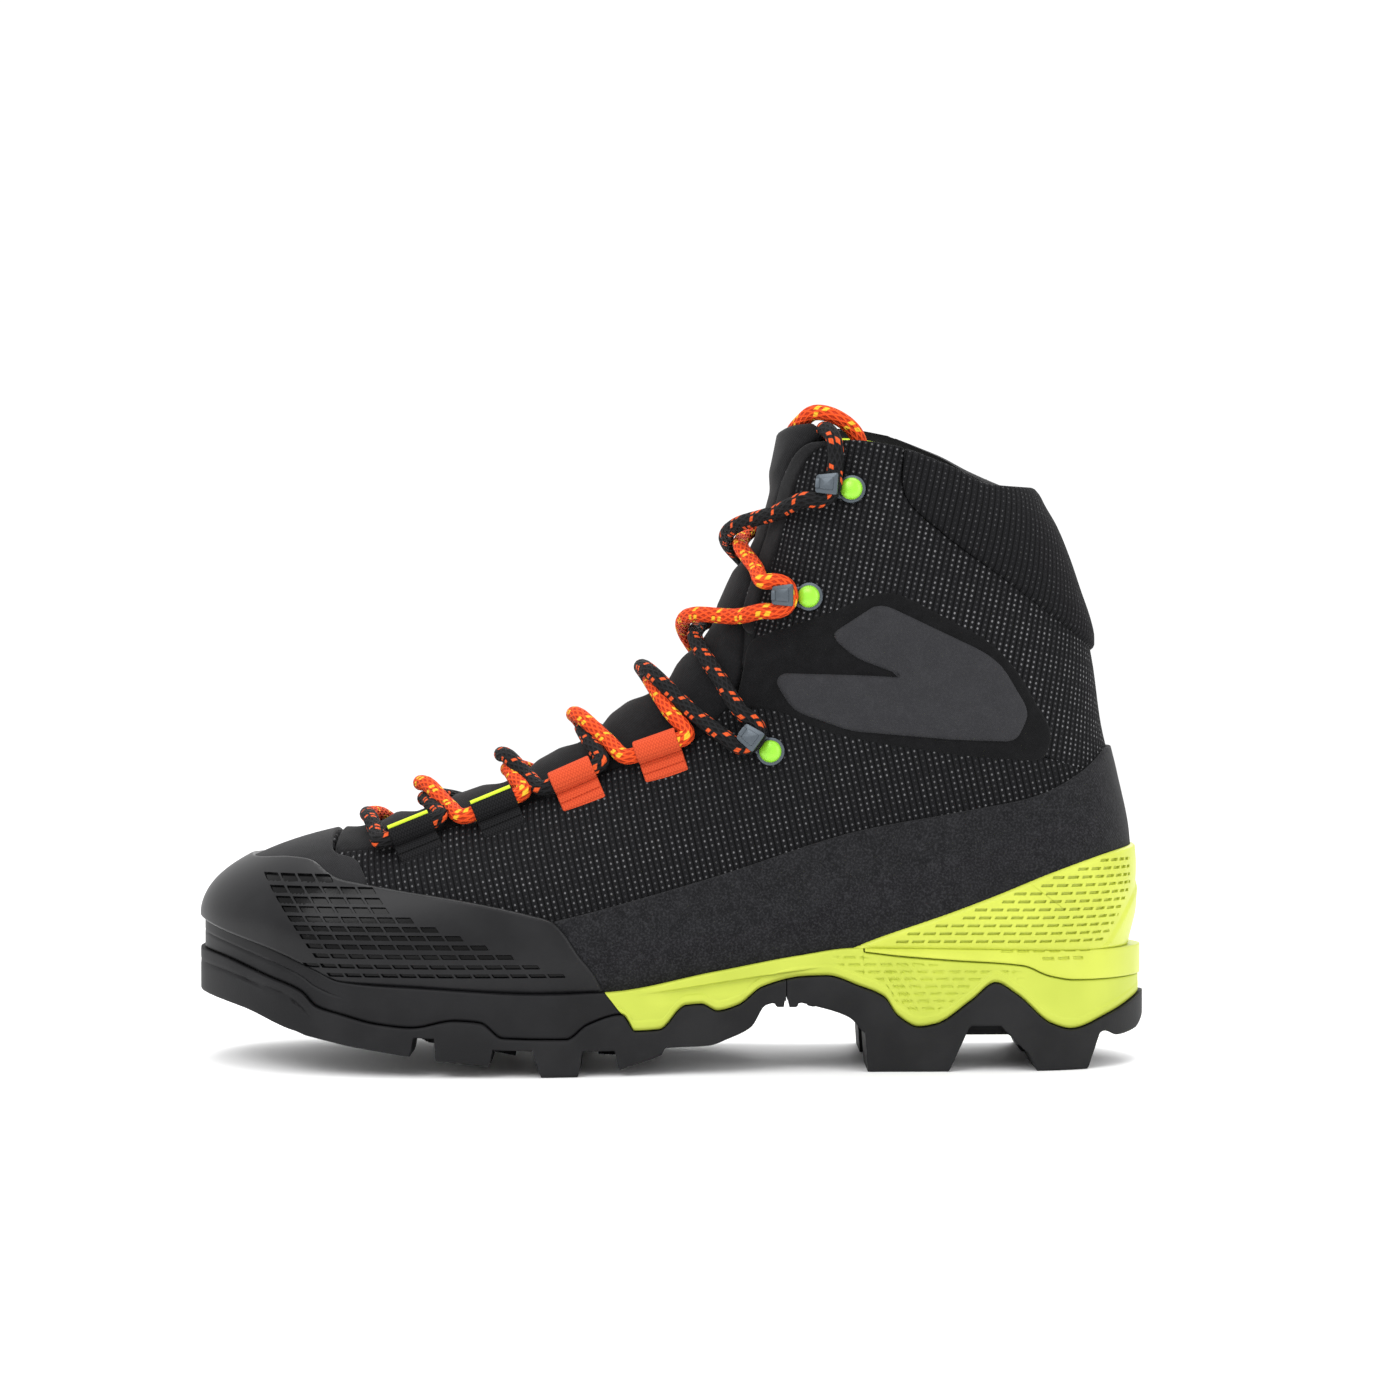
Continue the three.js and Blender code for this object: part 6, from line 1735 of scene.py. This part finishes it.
def round_hook(hook, side):
    """Turns the lace round the stem of a hook."""
    fitting = hook_fitting(hook, side)
    up = 1 if fitting.across[2] > 0 else -1
    points = [fitting.at(TURN_CENTRE + 4, HOOK_LACE, -up * TURN)]
    for k in range(5):
        angle = math.pi * k / 4
        points.append(fitting.at(TURN_CENTRE - TURN * math.sin(angle), HOOK_LACE,
                                 -up * TURN * math.cos(angle)))
    return points + [fitting.at(TURN_CENTRE + 4, HOOK_LACE, up * TURN)]


def lace_exit(side, beyond):
    fitting = hook_fitting(HOOKS[-1], side)
    up = 1 if fitting.across[2] > 0 else -1
    return fitting.at(TURN_CENTRE - TURN, HOOK_LACE, up * (TURN + beyond))


def strand(start, stop, ridge_x, on_top):
    """The lace from one fitting over the ridge of the tongue to the next one."""
    middle = ridge_point(ridge_x)
    height = BED + (OVER if on_top else 0)
    points = []
    for leg, (a, b, shares) in enumerate(((start, middle, (0.35, 0.75)),
                                          (middle, stop, (0.25, 0.65)))):
        if leg == 1:
            points.append(drape(middle, height))
        for share in shares:
            near = 1 - share if leg else share
            lift = BED + (height - BED) * float(smooth(0.35, 0.9, near))
            points.append(drape(a + (b - a) * share, lift))
    return points


def lace_half(start_side):
    """The route of one half of the lace, from the bar at the toe to a top hook."""
    bar = drape(ridge_point(TOE_BAR), BED)
    side, fittings = start_side, []
    for loop in LOOPS:
        fittings.append(through_loop(loop, side))
        side = -side
    for hook in HOOKS:
        fittings.append(round_hook(hook, side))
        side = -side
    entry = fittings[0][0]
    points = [bar, drape(bar + (entry - bar) * 0.4, BED), drape(bar + (entry - bar) * 0.75, BED)]
    points += fittings[0]
    for i in range(1, len(fittings)):
        on_top = (i % 2 == 0) == (start_side < 0)
        points += strand(points[-1], fittings[i][0], CROSSINGS[i - 1], on_top)
        points += fittings[i]
    top = start_side * (1 if len(fittings) % 2 else -1)
    return points[:-3] + [lace_exit(top, 0)]


for name, start_side, finish, slot in (("lace_black_half", -1, black_lace, "lace_black"),
                                       ("lace_orange_half", 1, orange_lace, "lace_orange")):
    route = bend(lace_half(start_side), 1.1)
    dress(tube(name, route, LACE_R, ROUND_SIDES), finish, None, ["lace"])

TAIL_BLACK = [[51.6, -35.4, 196.4], [50, -30.4, 200], [48.6, -24.6, 201], [49, -18.9, 199.4],
              [50.5, -15.5, 193.5], [51, -14, 184], [51, -13.5, 170], [51, -13.5, 154],
              [51, -13.5, 138], [51, -13.5, 122], [51, -13.5, 106], [51, -13.5, 84]]
TAIL_ORANGE = [[50.6, 35, 197.2], [46.2, 28.4, 200.8], [41.4, 19, 201], [39.2, 8, 200.8],
               [39.4, -3, 201.2], [41.4, -13, 203.6], [46, -20.6, 206.6], [52.4, -24, 205],
               [58.4, -23.8, 200.2], [60.9, -22.4, 192.6], [61, -21.7, 184], [61, -21.5, 170],
               [61, -21.5, 154], [61, -21.5, 138], [61, -21.5, 122], [61, -21.5, 106],
               [61, -21.5, 84]]


def lace_tail(name, route, side, finish):
    start = [lace_exit(side, beyond) for beyond in (0.0, 1.2, 2.4, 4.5)]
    line = bend(np.vstack([start, np.array(route, float)]), 1.0)
    piece = tube(name + "_cord", line, LACE_R, ROUND_SIDES,
                 taper=lambda run, full: 1 - 0.35 * float(smooth(full - 6, full, run)))
    piece.data.materials.append(finish)
    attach(piece, "cuff")
    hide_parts(name)
    length = float(np.linalg.norm(np.diff(line, axis=0), axis=1).sum())
    return length


black_length = lace_tail("lace_tail_black", TAIL_BLACK, -1, black_lace)
orange_length = lace_tail("lace_tail_orange", TAIL_ORANGE, 1, orange_lace)

# ------------------------------------------------------------------ edges of the collar
COLLAR_LINE = np.vstack([bend([[45.5, 197.0]] + COLLAR), bend(COLLAR_BACK)])
PIPING_DEPTH = -5.9  # on the inner face of the lining
PIPING_DROP = 3.4  # below the collar's edge


def collar_edge(x, side):
    """The collar's top edge at one length: a point on the last raised to the piping's place."""
    z = float(np.interp(x, COLLAR_LINE[:, 0], COLLAR_LINE[:, 1]))
    z += float(collar_rise(x, side, z + COLLAR_RISE)) - PIPING_DROP
    fitting = Fitting(x, z, side, 1, 0)
    return fitting.at(0, PIPING_DEPTH, 0)


def collar_piping():
    """One lime line round the back of the collar, from one front corner to the other."""
    xs = np.r_[np.linspace(50, 96, 60), 96 + 15.6 * np.sin(np.linspace(0, np.pi / 2, 40)[1:])]
    lateral = [collar_edge(x, -1) for x in xs]
    medial = [collar_edge(x, 1) for x in xs[::-1]]
    line = bend(np.array(lateral + medial), 0.8)
    piece = tube("collar_piping", line, 0.55, 10)
    dress(piece, lime_thread, "cuff", ["cuff_knit"])


collar_piping()


# ------------------------------------------------------------------ CAD pieces that stay
def finish_node(name, material, bevel):
    node = bpy.data.objects[name]
    node.data.materials.clear()
    node.data.materials.append(material)
    if bevel:
        edge = node.modifiers.new("edges", "BEVEL")
        edge.width = bevel * MM
        edge.segments = 2
        edge.limit_method = "ANGLE"
        edge.angle_limit = math.radians(40)


for name, material, slot, bevel in (("footbed", lining_cloth, "lining", 0.5),
                                    ("lasting_board", board_fibre, "board", 0.2),
                                    ("shank", shank_plate, "shank", 0.2),
                                    ("toe_puff", board_fibre, "board", 0),
                                    ("heel_counter", board_fibre, "board", 0),
                                    ("aglet_black", aglet_film, "aglet", 0.15),
                                    ("aglet_orange", aglet_film, "aglet", 0.15)):
    finish_node(name, material, bevel)
